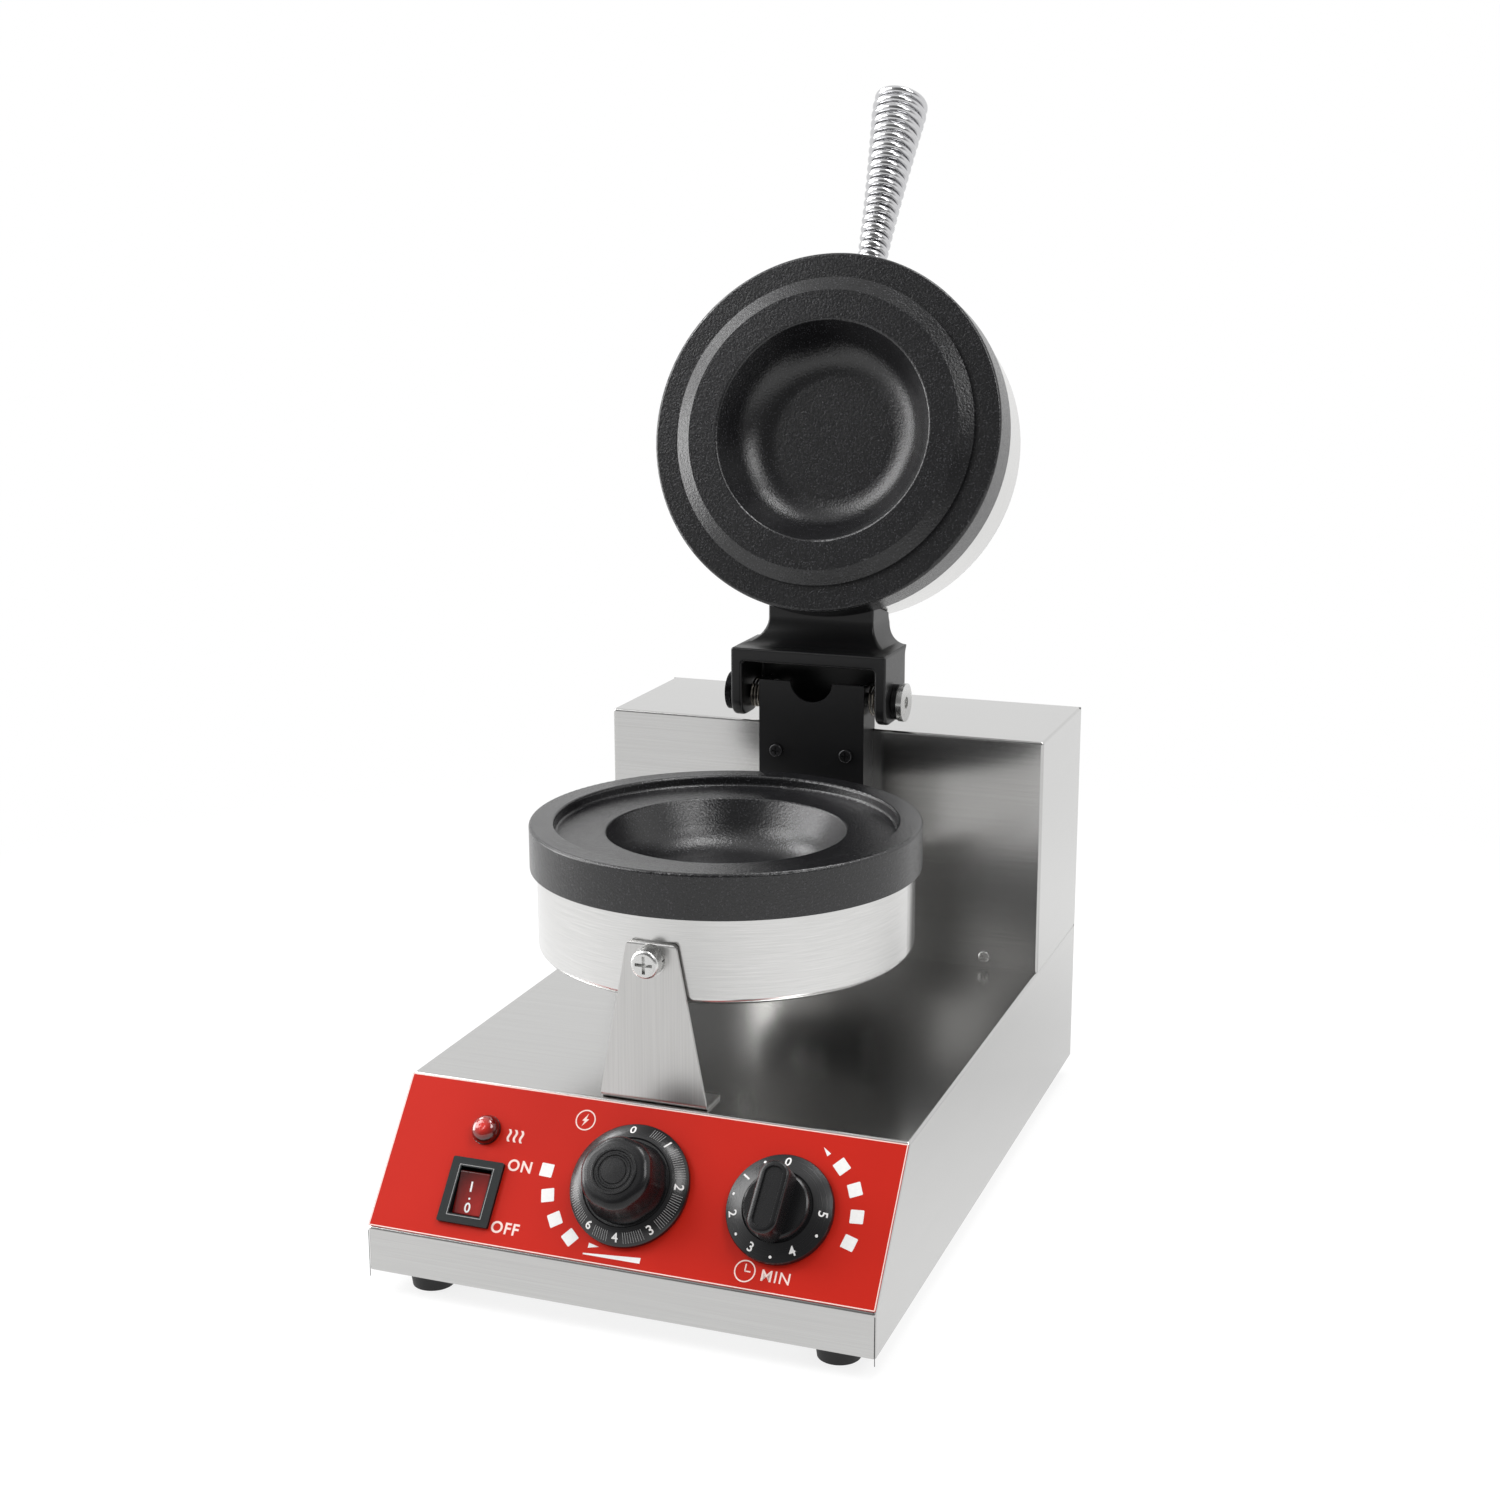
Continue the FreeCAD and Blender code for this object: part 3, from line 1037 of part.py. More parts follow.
nodes["bracket_screws"] = group([along(one, spot, Z_AXIS) for spot in bracket_screw_spots])

nut_corner = PAN_NUT_FLATS / math.sqrt(3)
nut_y = PAN_Y - math.sqrt(SHELL_BORE ** 2 - nut_corner ** 2)
washer_y = bracket_y - PAN_WASHER
bolt_seat_y = washer_y - SPRING_WASHER
bolt_length = nut_y + PAN_NUT + PAN_BOLT_TAIL - bolt_seat_y
one = screw(PAN_BOLT_RADIUS, bolt_length, PAN_BOLT_HEAD, PAN_BOLT_HEAD_HEIGHT)
nodes["pan_bolt"] = along(one, Vec(0, bolt_seat_y, PAN_BOLT_Z), Y_AXIS * -1)
washer_bore = PAN_BOLT_RADIUS + SCREW_CLEARANCE
washer_seat = Vec(0, washer_y, PAN_BOLT_Z)
flat_washer = tube(PAN_WASHER_RADIUS, washer_bore, washer_seat, Vec(0, bracket_y, PAN_BOLT_Z))
split_washer = tube(SPRING_WASHER_RADIUS, washer_bore, Vec(0, bolt_seat_y, PAN_BOLT_Z), washer_seat)
slit = box(0, SPRING_WASHER_RADIUS, bolt_seat_y, washer_y, PAN_BOLT_Z, PAN_BOLT_Z + SPRING_WASHER / 2)
nodes["pan_bolt_washers"] = group([flat_washer, split_washer.cut(slit)])
one = hex_nut(PAN_NUT_FLATS, PAN_NUT, PAN_BOLT_RADIUS + SNUG_FIT)
nodes["pan_bolt_nut"] = along(one, Vec(0, nut_y, PAN_BOLT_Z), Y_AXIS)

nodes["support_tube"] = tube(TUBE_RADIUS, TUBE_BORE, tube_start, tube_end)
one = hex_nut(TUBE_NUT_FLATS, TUBE_NUT, TUBE_RADIUS + SNUG_FIT)
tube_nut_corner = TUBE_NUT_FLATS / math.sqrt(3)
inside_nut_y = PAN_Y + math.sqrt(SHELL_BORE ** 2 - tube_nut_corner ** 2) - TUBE_NUT
tube_nut_starts = (inside_nut_y, PAN_Y + SHELL_RADIUS, HINGE_PLATE_Y - TUBE_NUT, BOX_FRONT_Y + SHEET)
nodes["support_tube_nuts"] = group([along(one, Vec(0, y, PAN_BOLT_Z), Y_AXIS) for y in tube_nut_starts])

# Hinge bracket on the rear box
cheek_back = HINGE_Y + HINGE_CHEEK_BACK
plate_top = HINGE_Z + HINGE_BRACKET_TOP
plate_low = BOX_TOP - HINGE_BRACKET_DROP
cheek = [(HINGE_PLATE_Y, plate_low, 0), (BOX_FRONT_Y, plate_low, 0), (BOX_FRONT_Y, BOX_TOP + MOVING_GAP, 0),
         (cheek_back, BOX_TOP + MOVING_GAP, 0), (cheek_back, plate_top, HINGE_CHEEK_CORNER),
         (HINGE_PLATE_Y, plate_top, 0)]
cheek_starts = (-CHEEK_X, CHEEK_X - HINGE_SHEET)
sides = [Part.Face(rounded_wire(cheek, side_outline(x))).extrude(X_AXIS * HINGE_SHEET) for x in cheek_starts]
front = box(-CHEEK_X, CHEEK_X, HINGE_PLATE_Y, HINGE_PLATE_Y + HINGE_SHEET, plate_low, plate_top)
notch_middle = Vec(0, HINGE_PLATE_Y, plate_top + HINGE_NOTCH_RAISE)
notch_reach = Y_AXIS * TOOL_OVERRUN
notch = round_bar(HINGE_NOTCH_RADIUS, notch_middle.sub(notch_reach), notch_middle.add(notch_reach))


def hinge_hole(radius):
    return round_bar(radius, HINGE_POINT.sub(X_AXIS * ARM_WIDTH), HINGE_POINT.add(X_AXIS * ARM_WIDTH))


hinge_bracket = joined([front] + sides).cut([notch, tube_hole()] + hinge_screw_holes())
nodes["hinge_bracket"] = hinge_bracket.cut(hinge_hole(PIN_RADIUS + SNUG_FIT))
hinge_screw_length = BRACKET_STANDOFF + SHEET + HINGE_NUT + HINGE_SCREW_TAIL
one = screw(HINGE_SCREW_RADIUS, hinge_screw_length, HINGE_SCREW_HEAD, HINGE_SCREW_HEAD_HEIGHT)
nodes["hinge_bracket_screws"] = group([along(one, spot, Y_AXIS * -1) for spot in hinge_screw_spots])
one = hex_nut(HINGE_NUT_FLATS, HINGE_NUT, HINGE_SCREW_RADIUS + SNUG_FIT)
nodes["hinge_bracket_nuts"] = group([along(one, Vec(spot.x, BOX_FRONT_Y + SHEET, spot.z), Y_AXIS)
                                     for spot in hinge_screw_spots])


# Least gap between the turns of a wound wire, on points along its middle line.
def turn_gap(curve, turns, wire):
    points = [curve(k / COIL_GAP_SAMPLES) for k in range(int(turns * COIL_GAP_SAMPLES) + 1)]
    near = COIL_GAP_SAMPLES // 2
    far = 2 * COIL_GAP_SAMPLES
    return min(a.distanceToPoint(b) for i, a in enumerate(points) for b in points[i + near:i + far]) - wire


# Pivot bolts, one for each ear: washers, spring and nut sit on the bolt, and the ear turns on it
def on_hinge(x):
    return HINGE_POINT.add(X_AXIS * x)


def both_sides(shape):
    return group([shape, shape.mirror(HINGE_POINT, X_AXIS)])


spring_start = CHEEK_X + MOVING_GAP + HINGE_SPRING_WIRE / 2
spring_end = EAR_IN - MOVING_GAP - HINGE_SPRING_WIRE / 2
spring_pitch = (spring_end - spring_start) / HINGE_SPRING_TURNS


def hinge_spring_curve(turn):
    angle = 2 * math.pi * turn
    return on_hinge(spring_start + spring_pitch * turn).add(
        Vec(0, HINGE_SPRING_RADIUS * math.cos(angle), HINGE_SPRING_RADIUS * math.sin(angle)))


nodes["hinge_springs"] = both_sides(wound_wire(hinge_spring_curve, HINGE_SPRING_TURNS, HINGE_SPRING_WIRE))
spring_gap = turn_gap(hinge_spring_curve, HINGE_SPRING_TURNS, HINGE_SPRING_WIRE)
print("hinge spring least gap", round(spring_gap, 3))
nut_start_x = CHEEK_X - HINGE_SHEET - PIN_NUT
head = round_bar(PIN_HEAD_RADIUS, on_hinge(PIN_SEAT_X), on_hinge(PIN_SEAT_X + PIN_HEAD))
socket_start = on_hinge(PIN_SEAT_X + PIN_HEAD - PIN_SOCKET_DEPTH)
socket = along(hexagon(PIN_SOCKET, PIN_HEAD), socket_start, X_AXIS)
pin = round_bar(PIN_RADIUS, on_hinge(nut_start_x - PIN_TAIL), on_hinge(PIN_SEAT_X))
nodes["hinge_bolts"] = both_sides(joined([head, pin]).cut(socket))
washer_pitch = DISC_WASHER_THICK + DISC_WASHER_GAP
washer_ends = [PIN_SEAT_X - washer_pitch * k for k in range(DISC_WASHERS)]
washers = [tube(DISC_WASHER_RADIUS, PIN_RADIUS + SNUG_FIT, on_hinge(end - DISC_WASHER_THICK), on_hinge(end))
           for end in washer_ends]
nodes["hinge_washers"] = both_sides(group(washers))
one = hex_nut(PIN_NUT_FLATS, PIN_NUT, PIN_RADIUS + SNUG_FIT)
nodes["hinge_nuts"] = both_sides(along(one, on_hinge(nut_start_x), X_AXIS))

# Lid: the upper pan and the handle are drawn shut and then opened; the arm is drawn open
pan_axis_low = Vec(0, PAN_Y, PAN_Z)
lid_round = round_bar(SHELL_RADIUS, pan_axis_low, Vec(0, PAN_Y, LID_TOP_Z + SHELL_HEIGHT))
handle_start = Vec(0, PAN_Y - SHELL_RADIUS, LID_TOP_Z - HANDLE_DROP)
handle_angle = math.radians(HANDLE_RISE)
handle_way = Vec(0, -math.cos(handle_angle), math.sin(handle_angle))
handle_up = X_AXIS.cross(handle_way)


def on_handle(distance):
    return handle_start.add(handle_way * distance)


arm_screw_ways = [Vec(math.sin(math.radians(turn)), math.cos(math.radians(turn)), 0)
                  for turn in mirrored_x(ARM_SCREW_ANGLE)]
arm_screw_seat = math.sqrt(SHELL_BORE ** 2 - ARM_SCREW_HEAD ** 2)
arm_screw_spots = [(Vec(0, PAN_Y, LID_TOP_Z - rise).add(way * arm_screw_seat), way)
                   for way in arm_screw_ways for rise in ARM_SCREW_RISES]


def arm_screw_holes(radius):
    return [round_bar(radius, spot, spot.add(way * ARM_SCREW_LENGTH)) for spot, way in arm_screw_spots]


rod_hole = round_bar(ROD_RADIUS + SNUG_FIT, on_handle(-ROD_INSET), on_handle(ROD_LENGTH))
upper_shell = upper_shut(pan_shell()).cut(arm_screw_holes(ARM_SCREW_RADIUS + SCREW_CLEARANCE) + [rod_hole])
nodes["upper_shell"] = opened(upper_shell)
nodes["upper_plate"] = opened(upper_shut(pan_plate(upper_face, boss_face - BOWL_DEPTH)))
nodes["upper_heater"] = opened(upper_shut(pan_heater()))
nodes["upper_heater_clamp"] = opened(upper_shut(pan_clamp()))
nodes["upper_clamp_screws"] = opened(upper_shut(pan_clamp_screws()))
nodes["upper_insulation"] = opened(upper_shut(pan_insulation()))
nodes["upper_shell_screws"] = opened(upper_shut(pan_shell_screws(boss_face - BOWL_DEPTH)))

# Arm: from the side a round ear, a crossbar over the pocket and a neck up to the shell; from the front
# it flares from the neck to the ears. A tongue on its back wall meets the top of the rear box as a stop.
arm_top = HINGE_RISE + SHELL_RADIUS
crossbar_top = ARM_POCKET_TOP + ARM_CROSSBAR
flare = (ARM_WIDTH - ARM_NECK_WIDTH) / 2
neck_half = ARM_NECK_WIDTH / 2
arm_side = [(-ARM_FRONT, crossbar_top, 0), (-ARM_FRONT, -ARM_EAR_DROP, ARM_EAR_CORNER),
            (ARM_EAR_BACK, -ARM_EAR_DROP, ARM_EAR_CORNER), (ARM_EAR_BACK, ARM_BACK_LIFT, ARM_BACK_CORNER),
            (ARM_BACK, ARM_BACK_LIFT, 0), (ARM_BACK, ARM_SHOULDER, 0), (ARM_NECK_BACK, ARM_NECK_LOW, 0),
            (ARM_NECK_BACK, arm_top, 0), (ARM_NECK_FRONT, arm_top, 0),
            (ARM_NECK_FRONT, crossbar_top, ARM_NECK_CORNER)]
arm_front = [(-EAR_OUT, -arm_top, 0), (EAR_OUT, -arm_top, 0), (EAR_OUT, crossbar_top, 0),
             (neck_half, crossbar_top, flare), (neck_half, arm_top, 0), (-neck_half, arm_top, 0),
             (-neck_half, crossbar_top, flare), (-EAR_OUT, crossbar_top, 0)]
arm_sideways = Part.Face(rounded_wire(arm_side, side_outline(-EAR_OUT))).extrude(X_AXIS * ARM_WIDTH)
front_wire = rounded_wire(arm_front, lambda p: Vec(p.x, -arm_top, p.y))
arm = arm_sideways.common(Part.Face(front_wire).extrude(Y_AXIS * 2 * arm_top))
back_inside = ARM_BACK - ARM_BACK_WALL
arm = arm.cut(box(-EAR_IN, EAR_IN, -arm_top, back_inside, -arm_top, ARM_POCKET_TOP))
stop_half = ARM_STOP_WIDTH / 2
stop_end = MOVING_GAP - HINGE_RISE
arm = joined([arm, box(-stop_half, stop_half, back_inside, ARM_BACK, stop_end, ARM_POCKET_TOP)])
arm.translate(HINGE_POINT)
band_round = round_bar(PLATE_RADIUS + MOVING_GAP, pan_axis_low, Vec(0, PAN_Y, LID_TOP_Z - SHELL_HEIGHT))
arm = arm.cut([opened(lid_round), opened(band_round), hinge_hole(PIN_RADIUS + RUNNING_FIT)])
nodes["hinge_arm"] = arm.cut([opened(hole) for hole in arm_screw_holes(ARM_SCREW_RADIUS + SNUG_FIT)])
one = screw(ARM_SCREW_RADIUS, ARM_SCREW_LENGTH, ARM_SCREW_HEAD, ARM_SCREW_HEAD_HEIGHT)
nodes["arm_screws"] = opened(group([along(one, spot, way * -1) for spot, way in arm_screw_spots]))

# Handle: a rod in a boss on the lid's front, and a wire coil that widens and then tucks in at its free end
boss = round_bar(HANDLE_BOSS_RADIUS, on_handle(-HANDLE_BOSS), on_handle(HANDLE_BOSS))
nodes["handle_boss"] = opened(boss.cut([lid_round, rod_hole]))
nodes["handle_rod"] = opened(round_bar(ROD_RADIUS, on_handle(-ROD_INSET), on_handle(ROD_LENGTH)))
coil_start = HANDLE_BOSS + COIL_BOSS_GAP + COIL_WIRE / 2


def handle_curve(turn):
    angle = 2 * math.pi * turn
    share = max(turn, 0) / COIL_TURNS
    radius = COIL_FIRST_RADIUS + (COIL_LAST_RADIUS - COIL_FIRST_RADIUS) * share ** COIL_FLARE
    tucked = max(share - 1 + COIL_TUCK_SHARE, 0) / COIL_TUCK_SHARE
    radius -= COIL_TUCK * tucked ** 2
    distance = coil_start + turn * (COIL_FIRST_PITCH + (COIL_LAST_PITCH - COIL_FIRST_PITCH) * share / 2)
    out = X_AXIS * math.cos(angle) + handle_up * math.sin(angle)
    return on_handle(distance).add(out * radius)


nodes["handle_coil"] = opened(wound_wire(handle_curve, COIL_TURNS, COIL_WIRE))
print("handle coil least gap", round(turn_gap(handle_curve, COIL_TURNS, COIL_WIRE), 3))

for name, shape in nodes.items():
    shape.exportStep("parts/" + name + ".step")
whole = group(list(nodes.values())).BoundBox
print(len(nodes), "nodes, box from", [round(v, 1) for v in (whole.XMin, whole.YMin, whole.ZMin)],
      "to", [round(v, 1) for v in (whole.XMax, whole.YMax, whole.ZMax)])
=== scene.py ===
import bpy
import json
import math
from mathutils import Euler, Matrix, Vector

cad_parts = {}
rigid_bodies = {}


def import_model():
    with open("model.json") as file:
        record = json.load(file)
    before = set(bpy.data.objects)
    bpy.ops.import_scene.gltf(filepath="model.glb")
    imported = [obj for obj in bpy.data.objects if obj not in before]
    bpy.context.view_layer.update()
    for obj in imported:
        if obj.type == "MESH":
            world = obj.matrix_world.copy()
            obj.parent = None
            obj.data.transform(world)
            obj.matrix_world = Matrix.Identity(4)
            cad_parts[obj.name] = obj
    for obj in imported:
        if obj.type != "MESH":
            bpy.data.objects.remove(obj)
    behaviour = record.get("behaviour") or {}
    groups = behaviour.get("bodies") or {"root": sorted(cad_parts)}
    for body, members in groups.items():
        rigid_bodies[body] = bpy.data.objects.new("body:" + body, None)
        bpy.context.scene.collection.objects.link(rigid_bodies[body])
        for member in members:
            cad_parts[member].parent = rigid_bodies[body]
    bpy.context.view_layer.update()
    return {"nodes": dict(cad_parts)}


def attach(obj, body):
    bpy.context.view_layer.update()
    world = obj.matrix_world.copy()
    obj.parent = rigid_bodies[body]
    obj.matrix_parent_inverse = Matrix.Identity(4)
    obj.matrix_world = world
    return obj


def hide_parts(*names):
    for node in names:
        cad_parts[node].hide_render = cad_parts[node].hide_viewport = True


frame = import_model()
nodes = frame["nodes"]
scene = bpy.context.scene
scene.view_settings.view_transform = "Standard"
print("frame loaded:", len(nodes), "nodes")


# shader writing: a Wire is a socket that takes part in Python sums
class Wire:
    def __init__(self, sheet, socket):
        self.sheet = sheet
        self.socket = socket

    def reckon(self, operation, first, second):
        return self.sheet.add("ShaderNodeMath", {"operation": operation}, {0: first, 1: second})

    def __add__(self, other):
        return self.reckon("ADD", self, other)

    def __radd__(self, other):
        return self.reckon("ADD", other, self)

    def __sub__(self, other):
        return self.reckon("SUBTRACT", self, other)

    def __rsub__(self, other):
        return self.reckon("SUBTRACT", other, self)

    def __mul__(self, other):
        return self.reckon("MULTIPLY", self, other)

    def __rmul__(self, other):
        return self.reckon("MULTIPLY", other, self)

    def __gt__(self, other):
        return self.reckon("GREATER_THAN", self, other)


class Sheet:
    def __init__(self, tree):
        self.tree = tree

    def add(self, kind, settings=None, inputs=None, out=0):
        node = self.tree.nodes.new(kind)
        for key, value in (settings or {}).items():
            if key == "stops":
                for stop, (place, shade) in zip(self.ramp(node, len(value)), value):
                    stop.position = place
                    stop.color = (*shade, 1) if isinstance(shade, tuple) else (shade, shade, shade, 1)
            else:
                setattr(node, key, value)
        for key, value in (inputs or {}).items():
            if isinstance(value, Wire):
                self.tree.links.new(value.socket, node.inputs[key])
            else:
                node.inputs[key].default_value = value
        return Wire(self, node.outputs[out]) if node.outputs else node

    def ramp(self, node, count):
        stops = node.color_ramp.elements
        while len(stops) < count:
            stops.new(0.5)
        return stops

    def place(self, turn=(0, 0, 0), scale=(1, 1, 1), shift=(0, 0, 0)):
        spot = self.add("ShaderNodeTexCoord", out="Object")
        turned = self.add("ShaderNodeMapping", None, {"Vector": spot, "Rotation": turn, "Location": shift})
        return self.add("ShaderNodeMapping", None, {"Vector": turned, "Scale": scale})

    def noise(self, spot, scale, detail, rough=0.5):
        return self.add("ShaderNodeTexNoise", None,
                        {"Vector": spot, "Scale": scale, "Detail": detail, "Roughness": rough})

    def blend(self, factor, first, second):
        return self.add("ShaderNodeMix", {"data_type": "RGBA"},
                        {0: factor, 6: self.shade(first), 7: self.shade(second)}, out=2)

    def shade(self, value):
        return value if isinstance(value, Wire) else (*value, 1)

    def curve(self, value, stops):
        return self.add("ShaderNodeValToRGB", {"stops": stops}, {"Fac": value})

    def bump(self, height, depth, strength):
        return self.add("ShaderNodeBump", None, {"Height": height, "Distance": depth, "Strength": strength})


finishes = {}


def finish(name, build):
    material = bpy.data.materials.new(name)
    material.use_nodes = True
    material.node_tree.nodes.clear()
    sheet = Sheet(material.node_tree)
    skin = sheet.add("ShaderNodeBsdfPrincipled", None, build(sheet))
    sheet.add("ShaderNodeOutputMaterial", None, {"Surface": skin})
    finishes[name] = material


# the lid stands open by this angle about its pivot
lid = {"open": 106.5, "pivot": (0, 0.0666, 0.2395)}

# in a finish, a noise is its scale, detail and roughness, and a relief its depth and strength

# brushed sheet: lines run along the table on every face
steel = {"tones": [(0.3, (0.50, 0.497, 0.49)), (0.7, (0.57, 0.567, 0.56))], "smudge": (0.53, 0.53, 0.525),
         "lines": (2200, 5, 0.65), "along": 0.005, "sideFrom": 0.7, "clouds": (9, 2), "smudgeShare": 0.4,
         "rough": 0.12, "lineRough": 0.08, "cloudRough": 0.05, "relief": (0.000016, 0.5)}


def brushedCase(sheet):
    along = steel["along"]
    grey = [(0, 0.0), (1, 1.0)]
    acrossLines = sheet.curve(sheet.noise(sheet.place(scale=(along, 1, 1)), *steel["lines"]), grey)
    sideLines = sheet.curve(sheet.noise(sheet.place(scale=(1, along, 1)), *steel["lines"]), grey)
    facing = sheet.add("ShaderNodeSeparateXYZ", None, {0: sheet.add("ShaderNodeTexCoord", out="Normal")})
    onSide = sheet.add("ShaderNodeMath", {"operation": "ABSOLUTE"}, {0: facing}) > steel["sideFrom"]
    lines = sheet.blend(onSide, acrossLines, sideLines)
    cloud = sheet.noise(sheet.place(), *steel["clouds"])
    tone = sheet.blend(cloud * steel["smudgeShare"], sheet.curve(lines, steel["tones"]), steel["smudge"])
    rough = lines * steel["lineRough"] + cloud * steel["cloudRough"] + steel["rough"]
    return {"Base Color": tone, "Metallic": 1.0, "Roughness": rough,
            "Normal": sheet.bump(lines, *steel["relief"])}


def brushed(sheet, skin, spot):
    lines = sheet.noise(spot, *skin["lines"])
    return {"Base Color": sheet.curve(lines, skin["tones"]), "Metallic": 1.0,
            "Roughness": lines * skin["lineRough"] + skin["rough"],
            "Normal": sheet.bump(lines, *skin["relief"])}


# turned ring: lines run round the pan, so the lid's pattern is laid back by its open angle
ring = {"tones": [(0.28, (0.60, 0.598, 0.59)), (0.72, (0.73, 0.726, 0.717))], "lines": (3000, 6, 0.7),
        "round": 0.016, "rough": 0.17, "lineRough": 0.10, "relief": (0.00001, 0.4)}


def brushedRing(turn):
    def build(sheet):
        return brushed(sheet, ring, sheet.place(turn=(turn, 0, 0), scale=(ring["round"], ring["round"], 1)))
    return build


bracketSteel = {"tones": [(0.3, (0.56, 0.555, 0.545)), (0.7, (0.64, 0.635, 0.625))], "lines": (1500, 4, 0.6),
                "along": 0.01, "rough": 0.26, "lineRough": 0.1, "relief": (0.000008, 0.3)}


def satinBracket(sheet):
    return brushed(sheet, bracketSteel, sheet.place(scale=(1, 1, bracketSteel["along"])))


nonStick = {"tones": ((0.0062, 0.0062, 0.007), (0.037, 0.037, 0.041)), "grain": (820, 3, 0.6),
            "specks": (1100, 1), "speckRange": [(0.58, 0.0), (0.74, 1.0)], "clouds": (24, 3), "rough": 0.14,
            "grainRough": 0.12, "cloudRough": 0.08, "specular": 0.62, "relief": (0.00028, 0.8)}


def coatedPlate(sheet):
    spot = sheet.place()
    grain = sheet.noise(spot, *nonStick["grain"])
    specks = sheet.curve(sheet.noise(spot, *nonStick["specks"]), nonStick["speckRange"])
    cloud = sheet.noise(spot, *nonStick["clouds"])
    rough = grain * nonStick["grainRough"] + cloud * nonStick["cloudRough"] + nonStick["rough"]
    return {"Base Color": sheet.blend(specks, *nonStick["tones"]), "Roughness": rough,
            "Specular IOR Level": nonStick["specular"], "Normal": sheet.bump(grain, *nonStick["relief"])}


# plain skins: clouds, or the grain itself, blend two tones, and the grain roughens them
plainSkins = {
    "powderCoat": {"tones": ((0.0040, 0.0040, 0.0045), (0.0070, 0.0070, 0.0075)), "clouds": (30, 2),
                   "grain": (900, 2), "rough": 0.26, "grainRough": 0.12, "specular": 0.36,
                   "relief": (0.00008, 0.4)},
    "panelPaint": {"tones": ((0.55, 0.018, 0.008), (0.50, 0.015, 0.007)), "clouds": (26, 3),
                   "grain": (1300, 2), "rough": 0.42, "grainRough": 0.08, "specular": 0.12,
                   "relief": (0.00003, 0.25)},
    "mouldedBlack": {"tones": ((0.0045, 0.0045, 0.005), (0.008, 0.008, 0.009)), "clouds": (60, 2),
                     "grain": (2200, 2), "rough": 0.22, "grainRough": 0.10, "specular": 0.42,
                     "relief": (0.00003, 0.3)},
    "bezelBlack": {"tones": ((0.003, 0.0055, 0.006), (0.006, 0.009, 0.010)), "grain": (1600, 2),
                   "rough": 0.30, "grainRough": 0.12, "specular": 0.26, "relief": (0.00004, 0.3)},
    "footRubber": {"tones": ((0.008, 0.008, 0.008), (0.02, 0.02, 0.021)), "grain": (1400, 3), "rough": 0.5,
                   "grainRough": 0.2, "relief": (0.0001, 0.4)},
    "printWhite": {"tones": ((0.93, 0.92, 0.90), (0.80, 0.79, 0.79)), "grain": (700, 3), "rough": 0.4,
                   "grainRough": 0.2},
    "printPink": {"tones": ((0.92, 0.74, 0.69), (0.85, 0.62, 0.57)), "grain": (300, 2), "rough": 0.35,
                  "grainRough": 0.2},
    # grey print, also used for the painted highlight round the switch window
    "printAndHighlightGrey": {"tones": ((0.20, 0.20, 0.20), (0.42, 0.42, 0.42)), "grain": (900, 2), "rough": 0.4,
                  "grainRough": 0.2},
    "dullCasting": {"tones": ((0.28, 0.28, 0.28), (0.42, 0.42, 0.41)), "grain": (600, 3), "rough": 0.4,
                    "grainRough": 0.2, "metal": 1.0},
    "woolBoard": {"tones": ((0.55, 0.52, 0.44), (0.75, 0.73, 0.66)), "grain": (420, 5), "rough": 0.85,
                  "grainRough": 0.1, "relief": (0.0004, 0.6)},
    "creamPlastic": {"tones": ((0.60, 0.55, 0.44), (0.68, 0.63, 0.52)), "grain": (800, 2), "rough": 0.4,
                     "grainRough": 0.1},
}


def plainSkin(skin):
    def build(sheet):
        spot = sheet.place()
        grain = sheet.noise(spot, *skin["grain"])
        cloud = sheet.noise(spot, *skin["clouds"]) if "clouds" in skin else grain
        look = {"Base Color": sheet.blend(cloud, *skin["tones"]), "Metallic": skin.get("metal", 0.0),
                "Roughness": grain * skin["grainRough"] + skin["rough"],
                "Specular IOR Level": skin.get("specular", 0.5)}
        if "relief" in skin:
            look["Normal"] = sheet.bump(grain, *skin["relief"])
        return look
    return build


# plated metal: tone, roughness and depth of its dents
platings = {"zinc": ((0.66, 0.66, 0.65), 0.20, 0.00001), "chrome": ((0.56, 0.56, 0.57), 0.09, 0.000002),
            "blackPlate": ((0.05, 0.05, 0.052), 0.28, 0.00001),
            "springWire": ((0.30, 0.275, 0.24), 0.22, 0.00001)}
plate = {"clouds": (140, 3), "grain": (1800, 2), "paler": 1.12, "grainRough": 0.08, "cloudRough": 0.06,
         "dentStrength": 0.3}


def plating(tone, rough, dents):
    def build(sheet):
        spot = sheet.place()
        cloud = sheet.noise(spot, *plate["clouds"])
        grain = sheet.noise(spot, *plate["grain"])
        paler = tuple(value * plate["paler"] for value in tone)
        return {"Base Color": sheet.blend(cloud, tone, paler), "Metallic": 1.0,
                "Roughness": grain * plate["grainRough"] + cloud * plate["cloudRough"] + rough,
                "Normal": sheet.bump(grain, dents, plate["dentStrength"])}
    return build


# the pivot bolts: black on the left, bright on the right
pivotPlate = {"tones": ((0.012, 0.012, 0.013), (0.66, 0.66, 0.65)), "rough": 0.20, "cloudRough": 0.14}


def pivotPlating(sheet):
    spot = sheet.place()
    cloud = sheet.noise(spot, *plate["clouds"])
    onRight = sheet.add("ShaderNodeSeparateXYZ", None, {0: spot}) > 0.0
    return {"Base Color": sheet.blend(onRight, *pivotPlate["tones"]), "Metallic": 1.0,
            "Roughness": cloud * pivotPlate["cloudRough"] + pivotPlate["rough"]}


# a painted glow: painted light that fades away from one spot
def paintedGlowFrom(sheet, spot, scale):
    where = sheet.place(shift=tuple(-value for value in spot), scale=(scale,) * 3)
    return sheet.add("ShaderNodeTexGradient", {"gradient_type": "SPHERICAL"}, {"Vector": where}, out=1)
